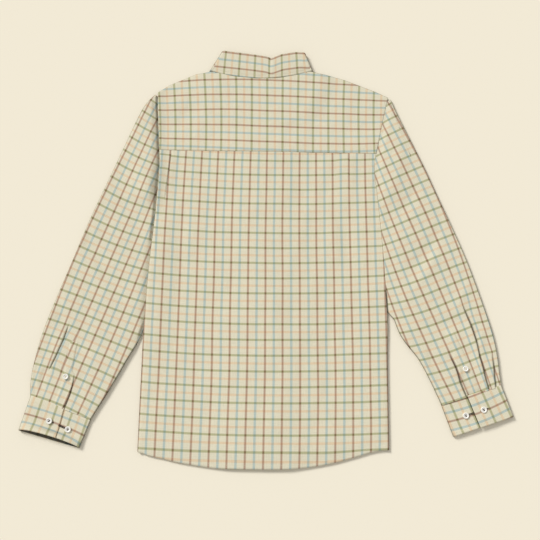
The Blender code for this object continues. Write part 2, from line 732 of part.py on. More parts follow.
def button(name, x, y, z, finish, radius=BUTTON_RADIUS, sides=16):
    """A turned button: flat beneath, rounded rim, sunk middle."""
    profile = (
        (0.86 * radius, 0.0),
        (radius, 0.35 * BUTTON_HEIGHT),
        (radius, 0.7 * BUTTON_HEIGHT),
        (0.88 * radius, BUTTON_HEIGHT),
        (0.72 * radius, BUTTON_HEIGHT),
        (0.6 * radius, 0.72 * BUTTON_HEIGHT),
    )
    points = []
    for reach, up in profile:
        for side in range(sides):
            angle = 2 * math.pi * side / sides
            points.append((x + reach * math.cos(angle), y + reach * math.sin(angle), z + up))
    faces = [tuple(reversed(range(sides)))]
    for ring in range(len(profile) - 1):
        for side in range(sides):
            following = (side + 1) % sides
            faces.append((ring * sides + side, ring * sides + following,
                          (ring + 1) * sides + following, (ring + 1) * sides + side))
    faces.append(tuple((len(profile) - 1) * sides + side for side in range(sides)))
    return add_object(name, points, faces, finish)


def buttons(finish):
    lap_top = CUFF_LAP_HEIGHT + CUFF_WALL / 2 + BUTTON_LIFT
    under_top = CUFF_UNDER_HEIGHT + CUFF_WALL / 2 + BUTTON_LIFT
    placket_top = SLEEVE_HEIGHT + WALL / 2 + PLACKET_LIFT + PLACKET_WALL + 0.5
    for name, x, y, z in (
            ("cuff_button_left_outer", -393.4, -324.5, lap_top),
            ("cuff_button_left_inner", -359.0, -339.6, under_top),
            ("cuff_button_right_outer", 394.9, -304.8, lap_top),
            ("cuff_button_right_inner", 362.3, -315.0, under_top)):
        button(name, x, y, z, finish)
    button("placket_button_left", -367.8, -244.6, placket_top, finish, radius=SMALL_BUTTON_RADIUS)
    button("placket_button_right", 365.9, -230.5, placket_top, finish, radius=SMALL_BUTTON_RADIUS)
    button("collar_button", BAND_X, COLLAR_BUTTON_Y, 0.0, finish, sides=12)
    for index in range(FRONT_BUTTONS):
        button(f"front_button_{index + 1}", BAND_X, FRONT_BUTTON_TOP_Y - index * FRONT_BUTTON_PITCH,
               0.0, finish, sides=12)


def stand_on_box_middle():
    """Puts the middle of the garment's footprint at the origin."""
    corners = [thing.matrix_world @ vertex.co for thing in bpy.data.objects for vertex in thing.data.vertices]
    middle_x = (min(point.x for point in corners) + max(point.x for point in corners)) / 2
    middle_y = (min(point.y for point in corners) + max(point.y for point in corners)) / 2
    for thing in bpy.data.objects:
        thing.location.x = -middle_x
        thing.location.y = -middle_y


def main():
    clear_scene()
    fabric = material("checked_cotton", (0.72, 0.68, 0.54), 0.85)
    shell = material("white_button", (0.87, 0.86, 0.83), 0.35)
    back_panel(fabric)
    yoke(fabric)
    left_front(fabric)
    right_front(fabric)
    collar_stand(fabric)
    collar_leaf(fabric)
    sleeve("sleeve_left", LEFT_SLEEVE_ROWS, left_inner_x, left_inner_height, LEFT_SLEEVE_CREASES,
           -165.0, fabric)
    sleeve("sleeve_right", RIGHT_SLEEVE_ROWS, right_inner_x, right_inner_height, RIGHT_SLEEVE_CREASES,
           UNDERARM_Y, fabric)
    placket("placket_left", (-381.0, -298.5), (-343.5, -165.0), LEFT_SLEEVE_CREASES, fabric)
    placket("placket_right", (380.0, -275.5), (335.0, -146.0), RIGHT_SLEEVE_CREASES, fabric)
    cuff("cuff_left", LEFT_CUFF_ROWS, (0.555, 0.605), fabric)
    cuff("cuff_right", RIGHT_CUFF_ROWS, (0.565, 0.55), fabric)
    buttons(shell)
    stand_on_box_middle()


main()
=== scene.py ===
import math
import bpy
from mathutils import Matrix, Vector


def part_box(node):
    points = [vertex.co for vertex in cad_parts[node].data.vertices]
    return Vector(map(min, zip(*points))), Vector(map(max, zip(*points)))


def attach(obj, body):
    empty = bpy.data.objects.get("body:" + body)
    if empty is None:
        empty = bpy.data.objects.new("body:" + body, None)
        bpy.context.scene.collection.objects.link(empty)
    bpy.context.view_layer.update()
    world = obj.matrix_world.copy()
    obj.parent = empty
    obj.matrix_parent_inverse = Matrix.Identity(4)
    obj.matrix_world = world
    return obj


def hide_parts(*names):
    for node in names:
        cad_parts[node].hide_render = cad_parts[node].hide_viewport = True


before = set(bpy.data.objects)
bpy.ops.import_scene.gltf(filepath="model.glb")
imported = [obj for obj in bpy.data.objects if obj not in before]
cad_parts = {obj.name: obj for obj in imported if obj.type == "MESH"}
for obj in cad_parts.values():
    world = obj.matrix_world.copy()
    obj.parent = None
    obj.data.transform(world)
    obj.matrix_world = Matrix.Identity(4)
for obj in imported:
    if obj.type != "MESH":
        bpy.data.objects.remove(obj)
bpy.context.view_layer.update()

from types import SimpleNamespace as Values

import bpy
import numpy as np
from mathutils import Vector
from mathutils.bvhtree import BVHTree

# Sizes and tables are millimetres in a frame of their own: x across the shirt, y up it, z above the ground.
MM = 0.001
BUTTON_AT = (-8, 222)  # the first front button's middle in that frame
low_corner, high_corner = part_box("front_button_1")
SHIFT = np.array([(low_corner[axis] + high_corner[axis]) / 2 / MM - BUTTON_AT[axis] for axis in (0, 1)])

# ---- cloth and heights
WALL = 1.2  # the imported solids' wall, which sets the heights
SHOWN_WALL = 0.9
PLACKET_SHOWN_WALL = 0.8
CUFF_WALL = 1.5
RIM_BULGE = 0.35  # how far a cut edge is rounded, as a share of the wall
PAINTED_FOLD_SHADE = 0.60  # painted shade: how much darker the cloth's colour is drawn where it turns over or goes down into a fold
PAINTED_SHADE_BELOW = 0.99  # upward part of the cloth's normal at which that painted shade begins, and the range it takes
PAINTED_SHADE_RANGE = 0.32
SEAM_GAP = 0.4
LAYER = WALL + SEAM_GAP
FLOOR = WALL / 2  # middle surface of cloth on the ground
SIDE_HEIGHT = 4.6
CROWN = 1.9
NECK_RISE = 2.2
EDGE_BAND = 8
EDGE_COLUMNS = 8
TURN = np.radians(np.linspace(14, 166, 11))  # steps round a fold
BODY_SEED = 1
CUFF_SEED = 7

# ---- body and yoke
BODY_HALF = 230
SEAM_LIFT = 0.6
SEAM_ALLOWANCE = 8
YOKE_SEAM_Y = 195
YOKE_SEAM_SLOPE = -0.018
YOKE_OUTER = 58  # columns beside the neck, across the neck, and rows
YOKE_INNER = 62
YOKE_ROWS = 56
SHOULDER_WRAP = 28
SHOULDER_BUMP = 4  # the shoulder rises beside the collar
RIGHT_NARROWER = 2  # near the hem
LEFT_ROLLS_BELOW = 70  # the back's edges roll down below these heights
RIGHT_ROLLS_BELOW = -70  # above this the right sleeve lies flush against the body
BAND_X = -8
BAND_HALF = 17
BUTTON_RADIUS = 5.7
SMALL_BUTTON_RADIUS = 5.2
BUTTON_HEIGHT = 2.2
BAND_RISE = BUTTON_HEIGHT + 0.3
PLEAT_STEPS = (-3.4, -1.5, -0.3, 0.3, 1.5, 3.4)

# ---- collar
COLLAR_X = -11
NECK_Y = 363
NECK_DEPTH = 4
NECK_HALF = 91
NECK_DROP = 71
STAND_TOP_HALF = 79.3
STAND_OUTSET = 1
STAND_TOP_DROP = 77
STAND_TURN = 2.1
BACK_STAND_HEIGHT = SIDE_HEIGHT + NECK_RISE
FOLD_SHIFT = 4.6
FOLD_DIP_AT = 14.8
LEAF_TURN = 4.2
LEAF_ROLL = 1.5
LEAF_EDGE_HALF = 99.5
LEAF_EDGE_Y = 366.6
LEAF_SAG = 15.4
LEAF_HEIGHT = BACK_STAND_HEIGHT + LAYER + 0.2
POINT_SPREAD = 46
POINT_Y = 264
POINT_GAP = 7
FRONT_FOLD = 122  # the fold's run from each side to the front
SIDE_FOLD = 5
COLLAR_BROWN_AT = 4
COLLAR_PERIOD = 31
# Fold of the collar behind: place across from its middle, height.
COLLAR_FOLD = ((-80.5, 410.2), (-46.2, 405.4), (-14.4, 400.9), (7, 397.2), (15.6, 393.2), (22, 396),
               (35.8, 402.3), (64.2, 407.2), (79.3, 406.4))
# Along that fold: place across from the middle, count of olive stripes.
COLLAR_OLIVE = ((-204.6, -6.73), (-75.5, -2), (-47.2, -1), (-16.6, 0), (11.6, 1), (36.2, 2),
                (66, 3), (202.4, 7.7))

# ---- outlines
# Height up the garment, left edge, right edge.
SIDE_ROWS = (
    (-378, -232, 223), (-250, -230.5, 225), (-140, -228, 226.5), (-74, -225, 224.5), (0, -220, 221.5),
    (56, -215, 218), (115, -211, 213.5), (145, -209, 210.5), (176, -208.5, 212), (205, -210.5, 218),
    (263, -214, 231), (318, -217, 244),
)
# Hem: across, height up the garment.
HEM_ROWS = (
    (-236, -375.4), (-217.3, -383.2), (-187.8, -390.4), (-159.9, -396.8), (-134, -401.5), (-90.9, -407.4),
    (-22.1, -409.4), (60.5, -407.7), (101, -402.2), (131, -396), (164, -386.9), (197, -377.8),
    (214, -375.9), (228, -376),
)
# Shoulder fold: across, height up the garment.
SHOULDER_ROWS = (
    (-217, 321), (-196, 336), (-168, 349), (-142, 360), (-122, 363), (-102.4, NECK_Y), (80.4, NECK_Y),
    (98, 363), (118, 359), (153, 349), (185, 336), (217, 322.5), (244, 309),
)
NECK_CORNERS = (SHOULDER_ROWS[5][0], SHOULDER_ROWS[6][0])
# Soft troughs and ridges of the back: start x, y, end x, y, half width, height.
BACK_CREASES = (
    (35, 170, 78, 80, 14, -1), (132, 78, 146, -70, 16, -1.1), (128, -120, 136, -330, 15, -1.1),
    (118, 60, 128, -60, 14, 0.8), (-150, 150, -170, -40, 22, 0.9), (-176, 60, -190, -160, 15, -0.8),
    (-60, -330, 70, -300, 24, 0.7), (-120, -120, -40, -40, 26, -0.7), (10, -30, 40, -210, 20, 0.6),
    (168, 290, 214, 230, 12, -1.2), (-150, 300, -196, 235, 14, -0.8), (60, 250, 130, 232, 14, 0.6),
)
# Pleats below the yoke: rows of height and place across, where they fade out and are full, groove, step,
# side of the step, and jump of the check beyond it.
BACK_FOLDS = (
    (((-500, -196), (100, -196), (196, -186.6)), 60, 150, 1.6, 1.5, 1, (0, 0.10)),
    (((-500, 160), (84, 160), (192, 161.5)), 70, 165, 0.35, 1.3, 1, (0, 0.06)),
)

# ---- sleeves
SLEEVE_HEIGHT = 5.6
SLEEVE_EDGE = 2.5
TUCKED_HEIGHT = 2.2
TUCKED_RISE = 1.7
ROLL_STOP = 0.144  # radians by which a rolled edge stops short of the seam
# Each sleeve. rows: sections, as outer edge x, y and inner edge x, y. creases: as on the back. folds: rows
# of way along and place across (0 inner edge, 1 outer), way along where it begins, is full and ends,
# groove, step, side of the step (1 outer, -1 inner) and jump of the check. rolls_below: where the upper
# side's inner edge begins to roll under. puff, seam_drop: how the cloth stands up beside the armhole and
# goes down at it.
SLEEVES = {
    "left": Values(seed=3, rolls_below=-165, puff=2.8, seam_drop=0.5, rows=(
        (-223.5, 316, -219.5, 312.5), (-247, 285, -215, 268), (-280, 205, -211, 184),
        (-309, 133, -211.5, 118), (-340, 56, -215, 34), (-368, -23, -215.5, -74), (-394, -95, -230.5, -158),
        (-414, -155, -262, -221), (-427, -210, -290, -272), (-432.5, -252, -305, -297),
        (-431, -280.5, -319.5, -322),
    ), creases=(
        (-352, 40, -250, -100, 13, -1.5), (-340, 0, -262, -120, 10, 1.2),
        (-400, -120, -300, -200, 12, -1.4), (-270, 200, -225, 70, 15, 1.2), (-300, 110, -236, 20, 12, -1.1),
        (-404, -225, -409, -283, 6, -1.2), (-420, -215, -421, -283, 4.5, -1),
        (-330, -230, -340, -300, 8, -0.9), (-396, -60, -352, -130, 12, 1),
    ), folds=(
        (((6.6, 0.589), (8, 0.452), (8.87, 0.426), (10, 0.436)), 7.9, 8.4, 20, 2, 0, 1, (0, 0)),
        (((6.65, 0.758), (7.08, 0.745), (7.60, 0.757), (8.17, 0.784), (10, 0.80)), 6.5, 6.9, 8.3, 2, 0.9, 1,
         (0.10, 0.08)),
    )),
    "right": Values(seed=4, rolls_below=RIGHT_ROLLS_BELOW, puff=0.7, seam_drop=0.3, rows=(
        (247, 306, 242.5, 301), (262, 268, 232, 256), (288, 208, 218, 192), (309.5, 158, 210, 150),
        (329, 108, 215, 96), (353, 48, 219.5, 30), (379.5, -23, 225, -60), (402, -96, 245, -157),
        (420, -161, 281, -212), (427, -206, 301, -252), (429, -240, 313, -280), (431, -262, 320, -296.5),
    ), creases=(
        (340, 60, 250, -60, 13, -1.4), (330, 20, 262, -96, 10, 1.1), (300, -150, 390, -120, 13, -1.2),
        (262, 230, 226, 90, 14, 1.1), (296, 140, 232, 50, 12, -1), (300, -190, 330, -262, 8, -1.1),
        (392, -60, 350, -150, 12, 1), (402, -150, 412, -250, 7, 1),
    ), folds=(
        (((8.2, 0.378), (8.83, 0.399), (9.6, 0.393), (11, 0.422)), 8.1, 8.6, 20, 3.8, 0, 1, (0, 0)),
        (((7, 0.780), (7.59, 0.783), (8.75, 0.754), (11, 0.793)), 6.8, 7.4, 20, 3.8, 1.4, -1, (0.12, 0.10)),
        (((8.6, 0.93), (9.54, 0.925), (11, 0.905)), 8.7, 9.3, 20, 3.2, 0.8, -1, (0.2, 0.05)),
    )),
}
PLACKET_POINT = 9
# Each sleeve's placket. rows, from the cuff up: height, edge by the opening, other edge. tilt: how its cuff
# end slopes. slot: the opening's upper end as a share of the length. lip: how far the free edge stands up.
PLACKETS = {
    "left": Values(tilt=-0.30, slot=0.44, lip=0.6, rows=(
        (-303, -371, -393), (-275, -360, -383.5), (-245, -354, -376.5), (-205, -350, -371),
        (-166, -345, -364),
    )),
    "right": Values(tilt=0.31, slot=0.54, lip=1.3, rows=(
        (-280, 366.4, 397), (-253, 357.4, 388.5), (-229, 352.5, 382), (-205, 343, 370.5),
        (-180, 334.5, 359.5), (-146, 326, 346),
    )),
}
CUFF_OUTER_HEIGHT = 5.6
CUFF_UNDER_HEIGHT = 4.3
CUFF_LAP_HEIGHT = CUFF_UNDER_HEIGHT + 1.6 + 0.5
CUFF_LAP = 0.17
# Each cuff. rows: outer x, y and inner x, y at the sleeve seam and at the mouth. edges: the lap's edge
# across at both. mouth_from: where along it the mouth begins. lap: height over the usual, and its change at
# the mouth. sunk, lifted: how the cloth below the lap lies under it and beyond it in the mouth. dip: where
# it changes. drawn: how far the lower and the upper side are drawn back at the mouth. arch, mouth_lift:
# form and height of the open mouth. along: direction of the buttonholes. button_turn: radians. far_hole:
# way along to the hole beyond the inner button, and its length.
# Each cuff also gives a share of painted shade for its inner side near the mouth, drawn dark as if in the
# open mouth's shadow.
CUFFS = {
    "left": Values(
        rows=((-431.2, -281.2, -319.8, -322.8), (-448.4, -341, -337.8, -372)), edges=(0.555, 0.605),
        mouth_from=0.6, lap=(-0.7, 0), sunk=0.5, lifted=0, dip=(0, 0.055), drawn=(0, 0.11), arch=0.5,
        mouth_lift=6, inside_dark=0.85, along=(0.917, -0.400), button_turn=-0.5, far_hole=(-12.2, 12)),
    "right": Values(
        rows=((431.2, -262.7, 320.2, -297.2), (448.7, -316.6, 338.5, -352)), edges=(0.565, 0.55),
        mouth_from=0.78, lap=(0.8, -1), sunk=2.6, lifted=0.9, dip=(0.005, 0.017), drawn=(0.05, 0),
        arch=0.7, mouth_lift=0.6, inside_dark=0, along=(0.955, 0.297), button_turn=0.4, far_hole=(11, 10)),
}

# Whole counts are brown and olive, half counts blue and orange.
GRAIN = {
    "back": (
        (-9, -99),
        (-0.1966, 3.0691, -0.0087, -0.0002, 0.0103, 0.0002, 0.0055, -0.0027, 0.0026, -0.0034),
        (0.4257, -0.0335, -3.4072, 0.0558, -0.0059, 0.0085, -0.0040, 0.0027, -0.0026, -0.0023),
    ),
    "yoke": (
        (-9, 275),
        (0.2672, -0.1175, -3.0395, -0.0215, 0.0287, -0.0050, 0.0106, -0.0613, -0.0011, -0.0041),
        (-0.3280, 3.2919, 0.0098, 0.0037, -0.0777, 0.0178, 0.0032, 0.0106, -0.0550, -0.0156),
    ),
    "sleeve_left": (
        (-317, -12),
        (0.3129, 2.8877, -1.1155, 0.0056, -0.0513, -0.0050, 0.1387, 0.0674, -0.0102, -0.0074),
        (0.0159, -1.2908, -3.1660, 0.1479, -0.1996, 0.0750, 0.1106, 0.1027, -0.1157, 0.0173),
    ),
    "sleeve_right": (
        (326, -12),
        (-0.3056, 2.8158, 1.0279, 0.3540, -0.0695, -0.0157, 0.5113, 0.0028, -0.0155, 0.0116),
        (-0.0829, 1.2996, -3.1579, -0.0837, -0.0015, 0.0132, -0.1710, -0.2171, -0.0599, -0.0092),
    ),
    "cuff_left": (
        (-389, -320),
        (-0.1086, -1.0766, -3.1795, -0.3098, -0.2849, -1.0547),
        (-0.02, 3.20, -0.93),
    ),
    "cuff_right": (
        (388, -304),
        (-0.0974, 1.0934, -2.9878, 0.4040, 0.0460, 0.1671),
        (0.43, 3.00, 1.18),
    ),
    "plain": (
        (0, 0),
        (0.1, 3.077, 0),
        (0.1, 0, -3.407),
    ),
}
GRAIN_WANDER = 0.014
GROUND = (222, 216, 192)
# Tint and half width, in counts, of each stripe.
BROWN = ((0.62, 0.47, 0.45, 1), 0.056)
BLUE = ((0.63, 0.79, 0.95, 1), 0.068)
OLIVE = ((0.63, 0.65, 0.50, 1), 0.069)
ORANGE = ((1, 0.85, 0.75, 1), 0.074)
CROSSING = (0.78, 0.76, 0.68, 1)
STRIPE_SOFTNESS = 0.030
THREADS_SEEN = 11  # coarse threads, fine threads and slubs in one count
FINE_THREADS = 62
SLUBS = (34, 2.6)
SLUB_TONE = (0.955, 1.045)  # range of brightness, as is the next
THREAD_TONE = (0.970, 1.015)
CLOTH_ROUGHNESS = (0.82, 0.92)
WEAVE_BUMP = {"Strength": 0.35, "Distance": 0.00012}
PEARL = (240, 238, 231)
CREAM_THREAD = (226, 218, 192)
BROWN_THREAD = (58, 42, 34)
FLOOR_COLOUR = (242, 235, 217)
FLOOR_HALF = 4  # metres, as are the next three
FLOOR_DROP = 0.0003
CAMERA_TARGET = (0.00658, -0.04212)
CAMERA_DISTANCE = 1.5
SENSOR_WIDTH = 36  # millimetres, as is the lens
CAMERA_LENS = 52.6
CAMERA_TILT = math.radians(13)
WORLD_STRENGTH = 0.53
SUN_STRENGTH = 2.69
SUN_SPREAD = math.radians(18)
SUN_DIRECTION = (0.61, -0.57, -0.55)

# ---- buttons and sewing
BUTTON_SIDES = 48
HOLE_SIDES = 14
HOLE_REACH = 0.34  # shares of the button's radius
HOLE_RADIUS = 0.12
# Rings of a button from its underside to its middle: shares of the radius and of BUTTON_HEIGHT.
BUTTON_PROFILE = ((0.80, 0), (0.93, 0.10), (1, 0.36), (1, 0.62), (0.95, 0.86), (0.87, 0.98),
                  (0.79, 1), (0.71, 0.95), (0.64, 0.80), (0.58, 0.70), (0.30, 0.66))
STITCH_PITCH = 3
STITCH_SHARE = 0.72  # of the pitch that a stitch covers
STITCH_RADIUS = 0.17
HEM_STITCH = 6.5
SATIN_PITCH = 0.34
SHANK_RADIUS = 0.22
THREAD_PATH = ((-1, -1), (-0.9, 0.12), (-0.4, 0.3), (0.4, 0.3), (0.9, 0.12), (1, -1))
THREAD_DEPTH = 0.35  # share of a button's height from its top down to the thread
NEAR_HOLE = (1.2, 13.5, 2.5)  # at a cuff's outer button: way along, length and width
FAR_HOLE_WIDTH = 3.6
FRONT_HOLE = 15  # length
STEEPEST_STITCH = 1.2  # no stitch where the cloth's height changes by more
LOOK_FROM = (-20, 60)  # heights below and above the shirt from which its surfaces are found

# Flat cut of each piece: width, length and area in metres, and what it lies on.
CUTS = {
    "back": (0.500, 0.618, 0.285, ["front_left", "front_right", "sleeve_left"]),
    "yoke": (0.470, 0.200, 0.080, ["back", "front_left", "front_right"]),
    "front_left": (0.260, 0.750, 0.160, []),
    "front_right": (0.262, 0.750, 0.160, ["front_left"]),
    "collar_stand": (0.400, 0.038, 0.014, ["collar_leaf", "yoke"]),
    "collar_leaf": (0.470, 0.090, 0.026, ["front_left", "front_right", "yoke"]),
    "sleeve_left": (0.310, 0.640, 0.130, []),
    "sleeve_right": (0.310, 0.640, 0.130, []),
    "placket_left": (0.026, 0.150, 0.0032, ["sleeve_left"]),
    "placket_right": (0.032, 0.142, 0.0034, ["sleeve_right"]),
    "cuff_left": (0.262, 0.063, 0.0155, ["sleeve_left"]),
    "cuff_right": (0.262, 0.063, 0.0155, ["sleeve_right"]),
}


# ---- curves and relief

def smooth(low, high, value):
    part = np.clip((value - low) / (high - low), 0, 1)
    return part * part * (3 - 2 * part)


def fade(low, high, value):
    return 1 - smooth(low, high, value)


def mix(start, end, part):
    return start + (end - start) * part


def stack(*parts):
    return np.stack(np.broadcast_arrays(*parts), axis=-1)


def unit(vectors):
    return vectors / np.maximum(np.linalg.norm(vectors, axis=-1, keepdims=True), 1e-9)


def table_at(rows, value):
    """Straight lines through rows of (way along, value there)."""
    return np.interp(value, *zip(*rows))


def cubic(part, start, end, leaving, arriving):
    """Smooth curve between two values with the given slopes at them."""
    square = part * part
    cube = square * part
    return ((2 * cube - 3 * square + 1) * start + (cube - 2 * square + part) * leaving
            + (3 * square - 2 * cube) * end + (cube - square) * arriving)


def rounded_curve(table, column, value):
    """Smooth curve through a table's rows; the first column is the way along."""
    rows = np.asarray(table, dtype=float)
    along, out = rows[:, 0], rows[:, column]
    slope = np.gradient(out, along)
    value = np.clip(value, along[0], along[-1])
    index = np.clip(np.searchsorted(along, value, side="right") - 1, 0, len(along) - 2)
    step = along[index + 1] - along[index]
    return cubic((value - along[index]) / step, out[index], out[index + 1], step * slope[index],
                 step * slope[index + 1])


def along_rows(rows, position):
    """Smooth curve through rows at whole positions."""
    rows = np.asarray(rows, dtype=float)
    last = len(rows) - 1
    index = min(int(position), last - 1)
    before, start, end, after = rows[[max(index - 1, 0), index, index + 1, min(index + 2, last)]]
    return cubic(position - index, start, end, (end - before) / 2, (after - start) / 2)


def side_x(y, side):
    narrower = RIGHT_NARROWER * fade(-210, -145, y) if side > 0 else 0
    return rounded_curve(SIDE_ROWS, 1 if side < 0 else 2, y) - narrower


def shoulder_y(x):
    beside_collar = SHOULDER_BUMP * np.exp(-((np.abs(x - COLLAR_X) - 98) / 9) ** 2)
    return table_at(SHOULDER_ROWS, x) + beside_collar


def hem_y(x):
    return rounded_curve(HEM_ROWS, 1, x)


def yoke_seam_y(x):
    return YOKE_SEAM_Y + YOKE_SEAM_SLOPE * x


def neckline_y(x):
    share = np.clip(np.abs(x - COLLAR_X) / NECK_HALF, 0, 1)
    return NECK_Y - NECK_DROP * np.sqrt(1 - share * share)


def neck_reach(x, y):
    return np.hypot(x - COLLAR_X, y - NECK_Y - NECK_DEPTH)


def crease_height(creases, x, y):
    total = 0 * x
    for x0, y0, x1, y1, half_width, height in creases:
        run = math.hypot(x1 - x0, y1 - y0)
        ux, uy = (x1 - x0) / run, (y1 - y0) / run
        down = ((x - x0) * ux + (y - y0) * uy) / run
        within = np.clip(down, 0, 1)
        bow = 0.09 * run * np.sin(math.pi * within) * (1 if x0 + y0 > x1 else -1)
        off = (x - x0) * uy - (y - y0) * ux + bow
        ends = smooth(-0.12, 0.35, down) * fade(0.6, 1.12, down)
        total = total + height * ends * np.exp(-(off / (half_width * (0.75 + 0.5 * within))) ** 2)
    return total


def fold_relief(off, strength, groove, step, side):
    """A crisp fold: a narrow groove, and cloth that stands higher along one side of it."""
    lip = np.where(off * side > 0, fade(0.5, 20, off * side), 0)
    return strength * (step * lip - groove * fade(0.5, 1.6, np.abs(off)))


def before_fold(off, side, near, far):
    """Share of the check's jump at a fold: full on the side away from its step, and fading with distance."""
    return np.where(off * side < 0, fade(near, far, -off * side), 0)


def ripple(x, y, wavelength, seed, waves=7):
    """Smooth uneven relief from a few seeded waves, about -1 to 1."""
    dice = np.random.default_rng(seed)
    total = 0 * x
    for _ in range(waves):
        angle = dice.uniform(0, 2 * math.pi)
        length = wavelength * dice.uniform(0.7, 1.6)
        phase = dice.uniform(0, 2 * math.pi)
        total = total + np.sin(2 * math.pi * (x * math.cos(angle) + y * math.sin(angle)) / length + phase)
    return total / waves * 1.6


def fine_relief(x, y, seed):
    return sum(height * ripple(x, y, wavelength, seed + more)
               for height, wavelength, more in ((0.34, 62, 0), (0.15, 27, 50), (0.05, 11, 70)))


def tucked_share(x, y):
    """Where the left sleeve's inner edge lies below the body."""
    return smooth(-235, -170, y) * fade(35, 78, y) * fade(16, 60, x - side_x(y, -1))


def lower_height(x, y):
    """Middle surface of the fronts: raised by the buttons, the collar's points and the left sleeve."""
    band = BAND_RISE * fade(20, 58, np.abs(x - BAND_X))
    collar = LAYER * fade(122, 160, neck_reach(x, y))
    tucked = (TUCKED_HEIGHT + LAYER - FLOOR) * tucked_share(x, y)
    return FLOOR + np.maximum(np.maximum(band, collar), tucked)


def back_height(x, y):
    crown = CROWN * fade(20, 110, np.abs(x - BAND_X))
    neck = NECK_RISE * fade(116, 158, neck_reach(x, y))
    armhole = 1.5 * smooth(60, 95, y) * fade(0, 15, x - side_x(y, -1))
    tucked = TUCKED_RISE * tucked_share(x, y)
    return SIDE_HEIGHT + np.maximum(crown, neck) + tucked + armhole + crease_height(BACK_CREASES, x, y)


def count(panel, x, y):
    """Stripe counts (brown, olive) of a panel at places in the tables' frame."""
    origin, *kinds = GRAIN[panel]
    gx, gy = ((value + SHIFT[axis] - origin[axis]) / 100 for axis, value in enumerate((x, y)))
    powers = [(power - step, step) for power in range(4) for step in range(power + 1)]
    result = []
    for terms in kinds:
        total = sum(term * gx ** first * gy ** second for term, (first, second) in zip(terms, powers))
        result.append(total + GRAIN_WANDER * ripple(x, y, 120, 90 + len(result)))
    return stack(*result)


# ---- meshes

def link_object(name, data):
    made = bpy.data.objects.new(name, data)
    bpy.context.scene.collection.objects.link(made)
    return made


def make_object(name, points, faces, finish, coords=None, dark=None):
    mesh = bpy.data.meshes.new(name)
    placed = np.array(points, dtype=float)
    placed[:, :2] += SHIFT
    mesh.from_pydata((placed * MM).tolist(), [], faces)
    mesh.validate()
    mesh.shade_smooth()
    mesh.materials.append(finish)
    if coords is not None:
        indices = np.empty(len(mesh.loops), dtype=np.int32)
        mesh.loops.foreach_get("vertex_index", indices)
        mesh.uv_layers.new(name="check").data.foreach_set("uv", coords.astype(np.float32)[indices].ravel())
        # Painted shade per point, kept for the material to darken the colour with.
        attribute = mesh.attributes.new("painted_fold_shade", "FLOAT", "POINT")
        attribute.data.foreach_set("value", dark.astype(np.float32))
    return link_object(name, mesh)


def grid_normals(grid, keep):
    turned = unit(np.cross(grid[1:, 1:] - grid[:-1, :-1], grid[1:, :-1] - grid[:-1, 1:])) * keep[:, :, None]
    normals = np.zeros_like(grid)
    for rows in (slice(None, -1), slice(1, None)):
        for columns in (slice(None, -1), slice(1, None)):
            normals[rows, columns] += turned
    return unit(normals)


def cloth(name, grid, counts, finish, wall=SHOWN_WALL, keep=None, inside_dark=0):
    """A thin closed wall round a grid of middle-surface points, with a rounded rim."""
    rows, columns = grid.shape[:2]
    if keep is None:
        keep = np.ones((rows - 1, columns - 1), dtype=bool)
    size = rows * columns
    number = np.arange(size).reshape(rows, columns)
    a, b, c, d = number[:-1, :-1], number[:-1, 1:], number[1:, 1:], number[1:, :-1]
    quads = stack(a, b, c, d)[keep]
    padded = np.pad(keep, 1)
    sides = ((a, b, padded[:-2, 1:-1]), (b, c, padded[1:-1, 2:]), (c, d, padded[2:, 1:-1]),
             (d, a, padded[1:-1, :-2]))
    edges = np.concatenate([stack(start, end)[keep & ~beyond] for start, end, beyond in sides])
    middle = grid.reshape(-1, 3)
    normals = grid_normals(grid, keep).reshape(-1, 3)
    outward = unit(np.cross(middle[edges[:, 1]] - middle[edges[:, 0]], normals[edges].sum(axis=1)))
    total = np.zeros_like(middle)
    for end in (0, 1):
        np.add.at(total, edges[:, end], outward)
    rim, rim_places = np.unique(edges, return_inverse=True)
    start, end = edges.T
    rim_start, rim_end = rim_places.reshape(edges.shape).T + 2 * size
    rim_faces = stack(start, rim_start, rim_end, end, rim_start, start + size, end + size, rim_end)
    faces = np.concatenate([quads, quads[:, ::-1] + size, rim_faces.reshape(-1, 4)])
    used, faces = np.unique(faces, return_inverse=True)
    rim_points = middle[rim] + unit(total[rim]) * wall * RIM_BULGE
    points = np.concatenate([middle + normals * wall / 2, middle - normals * wall / 2, rim_points])
    counts = counts.reshape(-1, 2)
    counts = np.concatenate([counts, counts, counts[rim]])
    # Painted shade: points whose normal turns away from upward are drawn darker, at rolled edges, steps and
    # grooves, and near a cuff's mouth the inner side that faces up is drawn darker too.
    dark = PAINTED_FOLD_SHADE * np.clip((PAINTED_SHADE_BELOW - np.abs(normals[:, 2])) / PAINTED_SHADE_RANGE, 0, 1)
    inside = np.broadcast_to(inside_dark, (rows, columns)).ravel()
    upward = normals[:, 2] > 0
    dark = np.concatenate([np.maximum(dark, inside * upward), np.maximum(dark, inside * ~upward), dark[rim]])
    return make_object(name, points[used], faces.reshape(-1, 4).tolist(), finish, counts[used], dark[used])


def body_grid(bottom, top, left, right, rows, columns):
    """Grid between two lines across, as functions of x, and two lines up, as functions of y."""
    share, row = np.meshgrid(columns, np.linspace(0, 1, rows))
    x = mix(left(0 * row), right(0 * row), share)
    for _ in range(12):
        y = mix(bottom(x), top(x), row)
        x = mix(left(y), right(y), share)
    return x, y


# ---- back, fronts and yoke

def place_pleats(x, y):
    """Bring six columns of the back's grid to each pleat, on and beside its fold line."""
    placed = x.copy()
    for row, (line, up) in enumerate(zip(x, y)):
        pairs = [(line[0], line[0]), (line[-1], line[-1])]
        for fold in BACK_FOLDS:
            middle = int(round(np.interp(fold[0][1][1], x[0], np.arange(len(line)))))
            pleat_x = table_at(fold[0], up[middle])
            pairs += [(line[middle - 3 + step], pleat_x + offset) for step, offset in enumerate(PLEAT_STEPS)]
            pairs += [(line[middle + reach], line[middle + reach]) for reach in (-12, 12)]
        placed[row] = table_at(sorted(pairs), line)
    return placed


